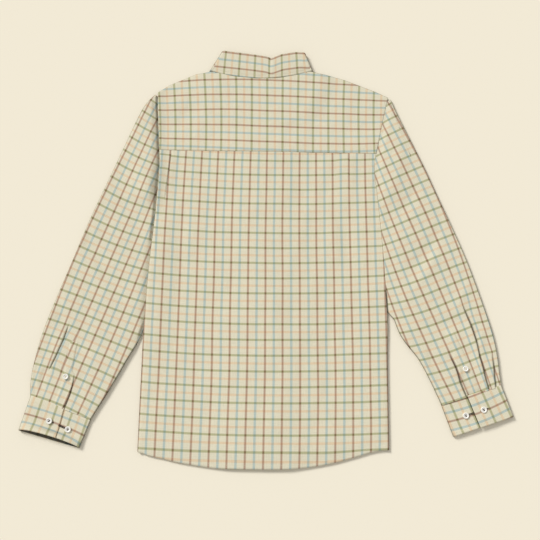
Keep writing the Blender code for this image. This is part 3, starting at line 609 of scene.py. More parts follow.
def back_piece(finish):
    band = EDGE_BAND / (2 * BODY_HALF)
    edge = np.linspace(0, band, EDGE_COLUMNS + 1)[:-1]
    columns = np.concatenate([edge, np.linspace(band, 1 - band, 150), 1 - edge[::-1]])
    x, y = body_grid(hem_y, lambda across: yoke_seam_y(across) + SEAM_ALLOWANCE,
                     lambda up: side_x(up, -1), lambda up: side_x(up, 1), 175, columns)
    even_hem = hem_y(x)
    x = place_pleats(x, y)
    y = y + (hem_y(x) - even_hem) * np.linspace(1, 0, len(x))[:, None]
    z = back_height(x, y) + fine_relief(x, y, BODY_SEED) - 1.1 * fade(0, 30, y - hem_y(x))
    flat_x = x - 1.5 * fade(2, 16, x - side_x(y, -1)) * fade(-20, 20, y)
    jump = np.zeros((*x.shape, 2))
    for rows, end, full, groove, step, side, shift in BACK_FOLDS:
        off = x - table_at(rows, y)
        strength = smooth(end, full, y) * (1 - 0.85 * smooth(184, 194, y))
        z = z + fold_relief(off, strength, groove, step, side)
        jump += (before_fold(off, side, 12, 34) * strength)[..., None] * np.array(shift)
    for side, rolls_below, reach in ((-1, LEFT_ROLLS_BELOW, 50), (1, RIGHT_ROLLS_BELOW, 30)):
        places = [step if side < 0 else -1 - step for step in range(EDGE_COLUMNS + 1)]
        edge_x, edge_y = x[:, places[0]].copy(), y[:, places[0]]
        low = lower_height(edge_x - side * 2, edge_y) + WALL / 2 + 2 * SEAM_GAP
        radius = back_height(edge_x - side * EDGE_BAND, edge_y) - low
        share = fade(rolls_below - reach, rolls_below, edge_y)
        flat_shift = (flat_x - x)[:, places[-1]]
        for step, place in enumerate(places[:-1]):
            angle = math.pi / 2 * (1 - step / EDGE_COLUMNS)
            turned_x = edge_x - side * 0.8 * radius * (1 - math.sin(angle))
            turned_flat = edge_x - side * radius * (0.8 - 0.9 * angle) + flat_shift
            x[:, place] = mix(x[:, place], turned_x, share)
            z[:, place] = mix(z[:, place], low + radius * math.cos(angle), share)
            flat_x[:, place] = mix(flat_x[:, place], turned_flat, share)
    flat_y = y + 4.2 * fade(0, 45, y - hem_y(x)) * (1 - 1.3 * smooth(90, 190, x))
    return cloth("cloth_back", stack(x, y, z), count("back", flat_x, flat_y) + jump, finish)


def front_top_y(x):
    return np.minimum(neckline_y(x) - 3 * SEAM_GAP, shoulder_y(x) - SHOULDER_WRAP - 2 * SEAM_GAP)


def front_piece(side, finish):
    """One front, from its side to the far edge of the button band; the right one lies over the left."""
    lines = (lambda up: side_x(up, side), lambda up: BAND_X - side * BAND_HALF + 0 * up)
    x, y = body_grid(hem_y, front_top_y, *lines[::-side], 110, np.linspace(0, 1, 52 if side < 0 else 56))
    z = lower_height(x, y)
    if side > 0:
        z = z + LAYER * fade(1.5, 30, x - BAND_X - BAND_HALF)
    name = "cloth_front_left" if side < 0 else "cloth_front_right"
    return cloth(name, stack(x, y, z), count("plain", x, y), finish)


def yoke_across(column, y):
    outer = YOKE_OUTER - 1
    inner = outer + YOKE_INNER - 1
    first = mix(side_x(y, -1), NECK_CORNERS[0], np.clip(column / outer, 0, 1))
    second = mix(*NECK_CORNERS, (column - outer) / (inner - outer))
    third = mix(NECK_CORNERS[1], side_x(y, 1), (column - inner) / outer)
    return np.where(column < outer, first, np.where(column < inner, second, third))


def yoke_piece(finish):
    """From its seam up the back, round the shoulders' folds and down to the fronts; the neck stays open."""
    columns = np.arange(2 * YOKE_OUTER + YOKE_INNER - 2, dtype=float)
    rows = []
    flat = []
    for share in np.linspace(0, 1, YOKE_ROWS):
        x = yoke_across(columns, NECK_Y)
        for _ in range(12):
            inset = np.where(np.abs(x - COLLAR_X) > NECK_HALF, 3, 0)
            y = mix(yoke_seam_y(x), shoulder_y(x) - inset, share)
            x = yoke_across(columns, y)
        off = y - yoke_seam_y(x)
        lift = SEAM_LIFT * fade(SEAM_ALLOWANCE + 4, 60, off)
        relief = fine_relief(x, y, BODY_SEED) * smooth(0, 20, off)
        rows.append(stack(x, y, back_height(x, y) + lift + relief))
        flat.append(stack(x, y))
    x, y, z = rows[-1].T
    fold = shoulder_y(x)
    low = lower_height(x, fold - 6)
    radius = (z - low) / 2
    for angle in np.radians(np.linspace(12, 168, 9)):
        rows.append(stack(x, y + (fold - y) * math.sin(angle), low + radius + radius * math.cos(angle)))
        flat.append(stack(x, y + radius * angle))
    for under in np.linspace(5, SHOULDER_WRAP, 9):
        y = NECK_Y - 50
        for _ in range(8):
            x = yoke_across(columns, y)
            y = shoulder_y(x) - under
        rows.append(stack(x, y, lower_height(x, y)))
        flat.append(stack(x, shoulder_y(x) + under))
    grid = np.array(rows)
    flat = np.array(flat)
    keep = np.ones((grid.shape[0] - 1, grid.shape[1] - 1), dtype=bool)
    keep[YOKE_ROWS - 1:, YOKE_OUTER - 1:YOKE_OUTER + YOKE_INNER - 2] = False
    return cloth("cloth_yoke", grid, count("yoke", flat[..., 0], flat[..., 1]), finish, keep=keep)


# ---- collar

def ring_stations():
    """Places round the neck, from the left front to the right front: kind, side and share of the way."""
    front = np.linspace(0, 1, 46)
    turn = np.linspace(0, 1, 11)[1:-1]
    runs = (("front", -1, front), ("turn", -1, turn), ("back", 0, np.linspace(0, 1, 90)),
            ("turn", 1, turn), ("front", 1, front[::-1]))
    return [(kind, side, share) for kind, side, shares in runs for share in shares]


def turn_angle(side, share):
    """Way round the neck's folded side: 0 in front, pi behind."""
    return math.pi * (share if side < 0 else 1 - share)


def ring_point(station, half, back_y, drop, turn, low, high, start, shift=0):
    kind, side, share = station
    if kind == "front":
        angle = mix(start, math.pi / 2, share)
        x = COLLAR_X + shift * (1 - math.cos(angle)) + side * half * math.sin(angle)
        y = back_y(side * half) - drop * math.cos(angle)
        return np.array((x, y, float(low(x, y))))
    if kind == "turn":
        angle = turn_angle(side, share)
        edge_y = back_y(side * half)
        bottom = float(low(COLLAR_X + side * half, edge_y))
        x = COLLAR_X + shift + side * (half + turn * math.sin(angle))
        return np.array((x, edge_y, mix(bottom, high, (1 - math.cos(angle)) / 2)))
    offset = mix(-half, half, share)
    return np.array((COLLAR_X + shift + offset, back_y(offset), high))


def fold_y(offset):
    """Height of the stand's top behind, rounded over three places."""
    return float(np.mean(table_at(COLLAR_FOLD, offset + np.array((-3, 0, 3))))) - LEAF_ROLL


def collar_stand_piece(finish):
    neck_angle = -math.asin(BAND_HALF / NECK_HALF)
    top_half = STAND_TOP_HALF + STAND_OUTSET
    top_angle = -math.asin(BAND_HALF / top_half)
    grid = []
    for part in np.linspace(0, 1, 12):
        line = []
        for station in ring_stations():
            kind, side, _ = station
            over = LAYER if kind == "front" and side > 0 else 0

            def low(x, y, over=over):
                return lower_height(x, y) + over * fade(BAND_HALF + 5, BAND_HALF + 28, x - COLLAR_X)

            def low_at_top(x, y):
                return np.maximum(low(x, y), FLOOR + 2 * LEAF_ROLL)

            bottom = ring_point(station, NECK_HALF, lambda offset: NECK_Y + 3 * SEAM_GAP, NECK_DROP,
                                STAND_TURN, low, BACK_STAND_HEIGHT, neck_angle)
            top = ring_point(station, top_half, fold_y, STAND_TOP_DROP, STAND_TURN, low_at_top,
                             BACK_STAND_HEIGHT, top_angle, FOLD_SHIFT)
            top = top - unit(top - bottom) * 4 * SEAM_GAP
            past_middle = side * (COLLAR_X - top[0]) if kind == "front" else 0
            line.append(mix(bottom, top, part * (1 - 0.3 * float(smooth(0, 7, past_middle + 2)))))
        grid.append(line)
    grid = np.array(grid)
    length = np.concatenate([[0], np.cumsum(np.linalg.norm(np.diff(grid[0], axis=0), axis=1))])
    counts = stack(np.linspace(0, 36, len(grid))[:, None] / 32.5, length[None, :] / 29.3)
    return cloth("cloth_collar_stand", grid, counts, finish)


def leaf_edge_y(offset):
    return LEAF_EDGE_Y - LEAF_SAG * (1 - (offset / LEAF_EDGE_HALF) ** 2)


def leaf_edge(station):
    kind, side, share = station
    if kind == "front":
        x = COLLAR_X + side * mix(POINT_SPREAD, LEAF_EDGE_HALF, share ** 0.8)
        return np.array((x, mix(POINT_Y, LEAF_EDGE_Y, share), FLOOR))
    if kind == "turn":
        angle = turn_angle(side, share)
        z = mix(FLOOR, LEAF_HEIGHT, (1 - math.cos(angle)) / 2)
        return np.array((COLLAR_X + side * (LEAF_EDGE_HALF + LEAF_TURN * math.sin(angle)), LEAF_EDGE_Y, z))
    offset = mix(-LEAF_EDGE_HALF, LEAF_EDGE_HALF, share)
    z = float(back_height(COLLAR_X + offset, LEAF_EDGE_Y - LEAF_SAG)) + LAYER + 0.2
    return np.array((COLLAR_X + offset, leaf_edge_y(offset), z))


def turn_towards_stand(station):
    kind, side, share = station
    if kind == "turn":
        angle = turn_angle(side, share)
        return np.array((-side * math.sin(angle), 0, math.cos(angle)))
    return np.array((0, 0, 1 if kind == "front" else -1))


def fold_place(station):
    """Way along the collar's fold from its middle behind; it goes on round both sides to the front."""
    kind, side, share = station
    if kind == "back":
        return mix(-STAND_TOP_HALF, STAND_TOP_HALF, share)
    if kind == "turn":
        return side * (STAND_TOP_HALF + SIDE_FOLD * (1 - turn_angle(side, share) / math.pi))
    return side * (STAND_TOP_HALF + SIDE_FOLD + FRONT_FOLD * (1 - share))


def leaf_relief(x, share):
    """The leaf dips in a crease below the fold's dip, and its lower edge lies unevenly."""
    at = COLLAR_X + FOLD_SHIFT + FOLD_DIP_AT - 4 * share
    crease = -1.2 * math.exp(-((x - at) / 2.4) ** 2) * (1 - share)
    crease += 0.4 * math.exp(-((x - at - 7) / 5) ** 2) * (1 - share) * min(1, 4 * share)
    edge = (0.5 * math.sin(x / 9) * math.sin(x / 23 + 1) - 0.95) * float(smooth(0.7, 1, share))
    return crease + edge


def collar_leaf_piece(finish):
    """Rolls over the stand's top, then falls to the leaf's lower edge and its points in front."""
    rolls = np.radians(np.linspace(0, 180, 9))
    start = math.asin(POINT_GAP / STAND_TOP_HALF)
    table = []
    for row, share in enumerate(np.concatenate([0 * rolls, np.linspace(0, 1, 22)[1:]])):
        line = []
        for station in ring_stations():
            behind = station[0] == "back"
            fold = ring_point(station, STAND_TOP_HALF, fold_y, STAND_TOP_DROP, STAND_TURN + 2 * LEAF_ROLL,
                              lambda x, y: FLOOR, BACK_STAND_HEIGHT + 2 * LEAF_ROLL, start, FOLD_SHIFT)
            edge = leaf_edge(station)
            to_stand = turn_towards_stand(station)
            point = mix(fold, edge, share)
            if row < len(rolls):
                point[:2] = fold[:2] + unit(fold[:2] - edge[:2]) * LEAF_ROLL * math.sin(rolls[row])
                point = point + to_stand * LEAF_ROLL * (1 + math.cos(rolls[row]))
                depth = LEAF_ROLL * (rolls[row] - math.pi / 2)
            else:
                reach = abs(edge[1] - fold[1]) if behind else float(np.linalg.norm(edge - fold))
                depth = LEAF_ROLL * math.pi / 2 + share * reach
            if behind:
                point[2] += leaf_relief(point[0], share)
            along = fold_place(station) - 0.8 * to_stand[2] * (point[0] - fold[0])
            line.append((*point, depth, along))
        table.append(line)
    table = np.array(table)
    counts = stack((table[..., 3] - COLLAR_BROWN_AT) / COLLAR_PERIOD, table_at(COLLAR_OLIVE, table[..., 4]))
    return cloth("cloth_collar_leaf", table[..., :3], counts, finish)


# ---- sleeves

def left_tucks(y):
    """How far the left sleeve's upper side, and both its sides, go under the body beside it."""
    return 4.5 * smooth(125, 150, y) * fade(270, 300, y), 10 * fade(0, 20, y)


def inner_x(left, x, y, lower):
    """Inner edge of a sleeve: free below the underarm, then under the body or beside it."""
    if left:
        upper_tuck, tuck = left_tucks(y)
        beside = side_x(y, -1) - 1 + tuck + (0 if lower else upper_tuck)
        return float(mix(x, beside, smooth(-160, -122, y)))
    gap = mix(LAYER + 0.2, 0.75, smooth(RIGHT_ROLLS_BELOW - 30, RIGHT_ROLLS_BELOW, y))
    return float(mix(x, side_x(y, 1) + gap, smooth(-140, -122, y)))


def inner_height(left, y):
    if left:
        beside = mix(TUCKED_HEIGHT, 2.7, smooth(60, 100, y))
        return float(mix(SLEEVE_HEIGHT, beside, smooth(-195, -160, y)))
    return float(mix(SLEEVE_HEIGHT, SIDE_HEIGHT + 0.2, smooth(-170, -120, y)))


def section_shares(folds, position, width, band, fold):
    """Places across a section's upper side, with six of them on and beside each fold line."""
    near = min(1, width / 70) / width
    places = [float(table_at(entry[0], position)) for entry in folds]
    parts = []
    start = band
    for place in sorted(places):
        place = min(place, 1 - fold - 7 * near)
        parts.append(np.linspace(start, place - 4.6 * near, 15 if start == band else 9))
        parts.append(place + np.array((-2.9, -1.3, -0.3, 0.3, 1.3, 2.9)) * near)
        start = place + 4.6 * near
    parts.append(np.linspace(start, 1 - fold, 40 - 9 * len(folds)))
    return np.concatenate(parts), places


def sleeve_counts(panel, inner, outer, flat):
    """Counts along a section; past the outer fold the cloth goes on as it came."""
    def at(share):
        return count(panel, mix(inner[0], outer[0], share), mix(inner[1], outer[1], share))

    beyond = 2 * at(np.array([1])) - at(np.clip(2 - flat, 0, 1))
    return np.where((flat > 1)[:, None], beyond, at(np.minimum(flat, 1)))


def sleeve_section(name, position):
    """Points round one section of a sleeve and their counts: upper side, outer fold, then lower side."""
    sleeve = SLEEVES[name]
    left = name == "left"
    outer_x, outer_y, edge_x, edge_y = along_rows(sleeve.rows, position)
    top_x, low_x = (inner_x(left, edge_x, edge_y, lower) for lower in (False, True))
    width = math.hypot(outer_x - top_x, outer_y - edge_y)
    radius = min(SLEEVE_EDGE, 0.6 + 0.2 * width)
    fold = radius / width
    band = min(EDGE_BAND, 0.25 * width) / width
    high = FLOOR + 2 * radius
    rolled = float(fade(sleeve.rolls_below - 25, sleeve.rolls_below, edge_y))
    seam_high = min(inner_height(left, edge_y), high)
    inner_radius = (seam_high - FLOOR) / 2
    top_shares, places = section_shares(sleeve.folds, position, width, band, fold)
    armhole = smooth(70, 110, edge_y) * fade(285, 305, edge_y)
    upper_tuck, tuck = left_tucks(edge_y) if left else (0, 0)
    covered = upper_tuck + tuck * smooth(-160, -122, edge_y)
    rise_from, rise_to = (covered - 0.2) / width, (covered + 7) / width
    if not left:
        rise_from, rise_to = min(mix(11, 2.8, armhole) / width, 0.15), mix(36, 14, armhole) / width
    folds = []
    for (_, begins, full, ends, groove, step, side, jump), place in zip(sleeve.folds, places):
        strength = float(smooth(begins, full, position) * fade(ends - 0.4, ends, position))
        folds.append((place, strength, groove, step, side, jump))

    def at(start_x, share, z):
        return stack(mix(start_x, outer_x, share), mix(edge_y, outer_y, share), z)

    def upper(share):
        x, y, _ = at(top_x, share, 0).T
        away = share * width
        relief = crease_height(sleeve.creases, x, y) + fine_relief(x, y, sleeve.seed)
        relief += sleeve.puff * armhole * smooth(3, 17, away - upper_tuck) * fade(24, 80, away)
        z = mix(seam_high - sleeve.seam_drop * armhole, high, smooth(rise_from, min(rise_to, 0.6), share))
        z = z + smooth(0, 0.12, share) * fade(0.9, 1, share) * relief
        for place, strength, groove, step, side, _ in folds:
            z = z + fold_relief((share - place) * width, strength, groove, step, side)
        return stack(x, y, z)

    def rolled_in(points, start_x, angle, sign):
        share = inner_radius / width * (1 - np.sin(angle))
        return mix(points, at(start_x, share, FLOOR + inner_radius * (1 + sign * np.cos(angle))), rolled)

    steps = np.linspace(0, 1, EDGE_COLUMNS)[:-1]
    angles = (math.pi / 2 - ROLL_STOP) * (1 - steps) ** 1.3
    edge_flat = mix(steps * band, inner_radius / width * (1 - angles), rolled)
    low_shares = np.linspace(1 - fold, band, 26)
    round_fold = 2 - 2 * fold + fold * math.pi
    lower_edge = at(low_x, steps[::-1] * band, FLOOR)
    outer_fold = at(top_x, 1 - fold + fold * np.sin(TURN), FLOOR + radius * (1 + np.cos(TURN)))
    parts = (
        (rolled_in(upper(steps * band), top_x, angles, 1), edge_flat),
        (upper(top_shares), top_shares),
        (outer_fold, 1 - fold + fold * TURN),
        (at(low_x, low_shares, FLOOR), round_fold - low_shares),
        (rolled_in(lower_edge, low_x, angles[::-1], -1), round_fold - edge_flat[::-1]),
    )
    points, flat = (np.concatenate(part) for part in zip(*parts))
    counts = sleeve_counts("sleeve_" + name, (top_x, edge_y), (outer_x, outer_y), flat)
    for place, strength, _, _, side, jump in folds:
        before = before_fold((flat - place) * width, side, 8, 30)
        counts = counts + (before * strength)[:, None] * np.array(jump)
    return points, counts


def sleeve_piece(name, finish):
    positions = np.linspace(0, len(SLEEVES[name].rows) - 1, 190)
    sections = [sleeve_section(name, position) for position in positions]
    grid, counts = (np.array(part) for part in zip(*sections))
    if name == "right":
        grid, counts = grid[:, ::-1], counts[:, ::-1]
    return cloth("cloth_sleeve_" + name, grid, counts, finish)


def placket_lines(placket, level):
    """Both edges and the run (0 at the cuff, 1 at the top) at heights up a placket."""
    first, last = placket.rows[0][0], placket.rows[-1][0]
    near, far = (rounded_curve(placket.rows, column, level) for column in (1, 2))
    return near, far, (level - first) / (last - first)


def placket_piece(name, finish):
    placket = PLACKETS[name]
    slot = placket.slot
    share, level = np.meshgrid(np.linspace(0, 1, 18),
                               np.linspace(placket.rows[0][0], placket.rows[-1][0], 70))
    near, far, run = placket_lines(placket, level)
    x = mix(near, far, share)
    point = PLACKET_POINT * np.abs(2 * share - 1) * smooth(0.86, 1, run)
    y = level + placket.tilt * (x - near) * (1 - run) - point
    relief = crease_height(SLEEVES[name].creases, x, y) + fine_relief(x, y, SLEEVES[name].seed)
    lip = placket.lip * fade(0, 0.25, share) * fade(slot - 0.2, slot, run)
    sewn = np.maximum(smooth(0.8, 0.97, run), smooth(0.72, 0.95, share))
    sewn = np.maximum(sewn, fade(0.05, 0.3, share) * smooth(slot - 0.03, slot + 0.08, run))
    height = SLEEVE_HEIGHT + WALL / 2 + 0.35
    grid = stack(x, y, height + 0.9 * relief + lip - 1.4 * sewn - 1.3 * fade(0, 0.06, run))
    if name == "left":
        grid = grid[:, ::-1]
    counts = count("sleeve_" + name, grid[..., 0], grid[..., 1])
    return cloth("cloth_placket_" + name, grid, counts, finish, wall=PLACKET_SHOWN_WALL)


def cuff_piece(name, finish):
    """Round a flattened cuff: from the lap's edge over the outer fold, below, and back under the lap."""
    cuff = CUFFS[name]
    top, bottom = np.array(cuff.rows)
    low = CUFF_WALL / 2
    outer_radius, inner_radius = (CUFF_OUTER_HEIGHT - low) / 2, (CUFF_UNDER_HEIGHT - low) / 2
    grid = []
    counts = []
    inside = []
    for row in np.linspace(-0.05, 1, 36):
        mouth = float(smooth(cuff.mouth_from, 1, row))
        start = mix(top, bottom, row)
        edge = mix(*cuff.edges, row)
        width = math.hypot(start[0] - start[2], start[1] - start[3])
        outer, inner = outer_radius / width, inner_radius / width
        lap_shares = edge - (edge - outer) * np.linspace(0, 1, 40) ** 1.25
        lap_height = CUFF_LAP_HEIGHT + cuff.lap[0] + cuff.lap[1] * mouth
        low_shares = np.linspace(outer, 1 - inner, 40)
        low_start = np.where(low_shares < 0.5, outer * (2 - math.pi), 2 + inner * (math.pi - 2))
        at_edge = edge + np.array((0.045, 0.03, 0.024, 0.016, 0.009, 0, -0.01))
        under = np.concatenate([np.linspace(1 - inner, edge + 0.06, 20), at_edge,
                                np.linspace(edge - 0.03, edge - CUFF_LAP, 12)])
        under_lift = mix(-cuff.sunk, cuff.lifted * mouth, smooth(*cuff.dip, under - edge))
        lapped = mix(CUFF_OUTER_HEIGHT, lap_height, smooth(0.12, edge - 0.14, lap_shares))
        parts = (
            (lap_shares, lapped, lap_shares),
            (outer * (1 - np.sin(TURN)), low + outer_radius * (1 + np.cos(TURN)), outer * (1 - TURN)),
            (low_shares, low + 0 * low_shares, low_start - low_shares),
            (1 - inner * (1 - np.sin(TURN)), low + inner_radius * (1 - np.cos(TURN)),
             1 + inner * (math.pi - 1 - TURN)),
            (under, CUFF_UNDER_HEIGHT + under_lift, under),
        )
        share, z, flat = (np.concatenate(part) for part in zip(*parts))
        upper = np.clip((z - low) / (CUFF_UNDER_HEIGHT - 1.3 - low), 0, 1)
        arch = np.sin(math.pi * np.clip(share, 0, 1)) ** cuff.arch
        place = mix(mix(top, bottom, row - cuff.drawn[0] * mouth), start, upper[:, None])
        if cuff.drawn[1]:
            place = mix(place, mix(top, bottom, row - cuff.drawn[1] * mouth), (upper * arch)[:, None])
        x, y = (mix(place[:, axis], place[:, axis + 2], share) for axis in (0, 1))
        relief = 0.5 * fine_relief(x, y, CUFF_SEED) - 0.1 * fade(-0.05, 0.1, row)
        grid.append(stack(x, y, z + upper * (relief + cuff.mouth_lift * mouth * arch)))
        counts.append(count("cuff_" + name, mix(start[0], start[2], flat), mix(start[1], start[3], flat)))
        # Painted shade on the lower side's inner face near the mouth, standing in for the dark inside of the
        # open cuff.
        inside.append(cuff.inside_dark * smooth(0.6, 0.9, row) * (1 - upper))
    grid, counts, inside = (np.array(part) for part in (grid, counts, inside))
    if name == "left":
        # The brown stripe beside the seam goes under it: the count stops just past that stripe.
        seam = round(float(counts[3, 20, 0]))
        way = math.copysign(1, float(counts[-1, 20, 0]) - seam)
        counts[..., 0] = seam + way * np.maximum((counts[..., 0] - seam) * way, 0.13)
        grid, counts, inside = (part[:, ::-1] for part in (grid, counts, inside))
    return cloth("cloth_cuff_" + name, grid, counts, finish, wall=CUFF_WALL, inside_dark=inside)


# ---- materials

def linear(red, green, blue):
    """sRGB of 0 to 255 to linear."""
    out = []
    for value in (red, green, blue):
        value /= 255
        out.append(value / 12.92 if value <= 0.04045 else ((value + 0.055) / 1.055) ** 2.4)
    return (*out, 1)


class Nodes:
    """Adds nodes to one material. An input is given a number, a tuple or another node's output."""

    def __init__(self, name):
        self.material = bpy.data.materials.new(name)
        self.material.use_nodes = True
        self.tree = self.material.node_tree
        self.shader = self.tree.nodes["Principled BSDF"]

    def fill(self, node, inputs):
        for key, value in inputs.items():
            if isinstance(value, bpy.types.NodeSocket):
                self.tree.links.new(value, node.inputs[key])
            else:
                node.inputs[key].default_value = value

    def add(self, kind, inputs, **settings):
        node = self.tree.nodes.new(kind)
        for key, value in settings.items():
            setattr(node, key, value)
        self.fill(node, inputs)
        return node

    def math(self, operation, first, second=0):
        return self.add("ShaderNodeMath", {0: first, 1: second}, operation=operation).outputs[0]

    def ramp(self, value, low, high, to_low, to_high):
        inputs = {"Value": value, "From Min": low, "From Max": high, "To Min": to_low, "To Max": to_high}
        return self.add("ShaderNodeMapRange", inputs, interpolation_type="SMOOTHSTEP").outputs["Result"]

    def tint(self, factor, colour, by):
        settings = {"data_type": "RGBA", "blend_type": "MULTIPLY"}
        return self.add("ShaderNodeMix", {0: factor, 6: colour, 7: by}, **settings).outputs[2]

    def scaled(self, colour, tone):
        return self.add("ShaderNodeVectorMath", {0: colour, "Scale": tone}, operation="SCALE").outputs[0]


def check_material():
    nodes = Nodes("checked_cotton_cloth")
    coords = nodes.add("ShaderNodeUVMap", {}, uv_map="check").outputs[0]
    across, along, _ = nodes.add("ShaderNodeSeparateXYZ", {0: coords}).outputs

    def stripe(value, offset, half):
        near = nodes.math("PINGPONG", nodes.math("ADD", value, offset), 0.5)
        return nodes.ramp(near, half - STRIPE_SOFTNESS, half + STRIPE_SOFTNESS, 1, 0)

    def slubs(scale):
        place = nodes.add("ShaderNodeMapping", {0: coords, "Scale": scale}).outputs[0]
        inputs = {"Vector": place, "Scale": 1, "Detail": 2}
        return nodes.add("ShaderNodeTexNoise", inputs, noise_dimensions="2D").outputs["Fac"]

    colour = linear(*GROUND)
    for value, offset, (tint, half) in ((across, 0, BROWN), (across, 0.5, BLUE), (along, 0, OLIVE),
                                        (along, 0.5, ORANGE)):
        colour = nodes.tint(stripe(value, offset, half), colour, tint)
    crossing = nodes.math("MULTIPLY", stripe(across, 0, BROWN[1]), stripe(along, 0, OLIVE[1]))
    colour = nodes.tint(crossing, colour, CROSSING)

    slub, other = slubs((*SLUBS, 1)), slubs((*SLUBS[::-1], 1))
    tone = nodes.ramp(nodes.math("ADD", slub, other), 0.7, 1.3, *SLUB_TONE)
    coarse = []
    fine = []
    for value in (across, along):
        near = nodes.math("PINGPONG", nodes.math("MULTIPLY", value, THREADS_SEEN), 0.5)
        coarse.append(nodes.ramp(near, 0.05, 0.35, *THREAD_TONE))
        fine.append(nodes.math("SINE", nodes.math("MULTIPLY", value, 2 * math.pi * FINE_THREADS)))
    tone = nodes.math("MULTIPLY", tone, nodes.math("MULTIPLY", *coarse))
    # Painted shade: the colour is multiplied down by each point's painted shade.
    turned = nodes.add("ShaderNodeAttribute", {}, attribute_name="painted_fold_shade").outputs["Fac"]
    tone = nodes.math("MULTIPLY", tone, nodes.math("SUBTRACT", 1, turned))
    weave = nodes.math("ADD", nodes.math("MULTIPLY", nodes.math("MULTIPLY", *fine), 0.5), slub)
    bump = nodes.add("ShaderNodeBump", {**WEAVE_BUMP, "Height": weave})
    nodes.fill(nodes.shader, {
        "Base Color": nodes.scaled(colour, tone), "Normal": bump.outputs[0],
        "Roughness": nodes.ramp(other, 0.3, 0.7, *CLOTH_ROUGHNESS), "Specular IOR Level": 0.25,
        "Sheen Weight": 0.05, "Sheen Roughness": 0.5})
    return nodes.material


def plain_material(name, colour, roughness, spread, scale):
    nodes = Nodes(name)
    place = nodes.add("ShaderNodeTexCoord", {}).outputs["Object"]
    grain = nodes.add("ShaderNodeTexNoise", {"Vector": place, "Scale": scale, "Detail": 3}).outputs["Fac"]
    tone = nodes.ramp(grain, 0.3, 0.7, 1 - spread, 1 + spread)
    nodes.fill(nodes.shader, {"Base Color": nodes.scaled(linear(*colour)[:3], tone),
                              "Roughness": nodes.ramp(grain, 0.3, 0.7, roughness - 0.04, roughness + 0.04)})
    return nodes.material


# ---- buttons and threads

def circle(sides):
    return [2 * math.pi * side / sides for side in range(sides)]


def ring_faces(rings, sides, first=0):
    """Faces of a closed body whose rings of points follow one another, and of its two ends."""
    faces = []
    for ring in range(rings - 1):
        base = first + ring * sides
        for side in range(sides):
            after = (side + 1) % sides
            faces.append((base + side, base + after, base + sides + after, base + sides + side))
    faces.append(tuple(first + side for side in reversed(range(sides))))
    faces.append(tuple(first + (rings - 1) * sides + side for side in range(sides)))
    return faces


def ring_object(name, rings, sides, faces):
    """An object from level rings (x, y, z, radius)."""
    points = [(MM * (x + radius * math.cos(angle)), MM * (y + radius * math.sin(angle)), MM * z)
              for x, y, z, radius in rings for angle in circle(sides)]
    mesh = bpy.data.meshes.new(name)
    mesh.from_pydata(points, [], faces)
    return link_object(name, mesh)


def button_mesh(radius, finish):
    """A turned four-hole button with a rounded rim and a sunk middle; its underside is at z = 0."""
    name = f"button_{radius}".replace(".", "_")
    rings = [(0, 0, up * BUTTON_HEIGHT, reach * radius) for reach, up in BUTTON_PROFILE]
    disc = ring_object(name, rings, BUTTON_SIDES, ring_faces(len(rings), BUTTON_SIDES))
    holes = []
    hole_faces = []
    for quarter in range(4):
        turn = math.pi / 2 * quarter + math.pi / 4
        x, y = (HOLE_REACH * radius * way for way in (math.cos(turn), math.sin(turn)))
        hole_faces += ring_faces(2, HOLE_SIDES, len(holes) * HOLE_SIDES)
        holes += [(x, y, up, HOLE_RADIUS * radius) for up in (-1, BUTTON_HEIGHT + 1)]
    cutter = ring_object("hole_cutter", holes, HOLE_SIDES, hole_faces)
    cut = disc.modifiers.new("holes", "BOOLEAN")
    cut.operation = "DIFFERENCE"
    cut.solver = "EXACT"
    cut.object = cutter
    bpy.context.view_layer.update()
    mesh = bpy.data.meshes.new_from_object(disc.evaluated_get(bpy.context.evaluated_depsgraph_get()))
    bpy.data.objects.remove(disc)
    bpy.data.objects.remove(cutter)
    mesh.name = name
    mesh.materials.clear()
    mesh.materials.append(finish)
    mesh.shade_smooth()
    mesh.set_sharp_from_angle(angle=math.radians(38))
    return mesh


def tube(parts, path, radius, sides):
    """Add a closed round thread along a path to a list of (points, faces)."""
    path = np.asarray(path, dtype=float)
    along = unit(np.gradient(path, axis=0))
    first = np.cross(along, (0, 0, 1))
    first[np.linalg.norm(first, axis=1) < 1e-3] = (1, 0, 0)
    first = unit(first)
    second = np.cross(first, along)
    thick = np.full((len(path), 1), radius)
    thick[[0, -1]] *= 0.45
    rings = [path + (first * math.cos(angle) + second * math.sin(angle)) * thick for angle in circle(sides)]
    base = sum(len(part[0]) for part in parts)
    parts.append((np.stack(rings, axis=1).reshape(-1, 3), ring_faces(len(path), sides, base)))


def thread_object(name, parts, finish):
    points = np.concatenate([part[0] for part in parts])
    made = make_object(name, points, [face for part in parts for face in part[1]], finish)
    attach(made, "root")


class Surface:
    """Finds the outside of finished cloth above, or below, a place."""

    def __init__(self, piece):
        mesh = piece.data
        places = np.empty(len(mesh.vertices) * 3)
        mesh.vertices.foreach_get("co", places)
        places = places.reshape(-1, 3) / MM
        places[:, :2] -= SHIFT
        faces = [tuple(polygon.vertices) for polygon in mesh.polygons]
        self.tree = BVHTree.FromPolygons(places.tolist(), faces)

    def height(self, x, y, above):
        start = Vector((x, y, LOOK_FROM[above]))
        place, _, _, _ = self.tree.ray_cast(start, Vector((0, 0, -1 if above else 1)))
        return None if place is None else place.z


def stitch_row(parts, surface, path, above):
    """A row of lock stitches on a surface along a path of (x, y) places."""
    steps = np.concatenate([[0], np.cumsum(np.linalg.norm(np.diff(path, axis=0), axis=1))])
    lifts = np.array((-0.10, 0.06, 0.11, 0.06, -0.10)) * (1 if above else -1)
    for number in range(max(int(steps[-1] / STITCH_PITCH), 1)):
        where = STITCH_PITCH * (number + STITCH_SHARE * np.array((0, 0.22, 0.5, 0.78, 1)))
        x, y = (np.interp(where, steps, path[:, axis]) for axis in (0, 1))
        heights = [surface.height(*place, above) for place in zip(x, y)]
        if None not in heights and max(heights) - min(heights) <= STEEPEST_STITCH:
            tube(parts, stack(x, y, np.array(heights) + lifts), STITCH_RADIUS, 5)


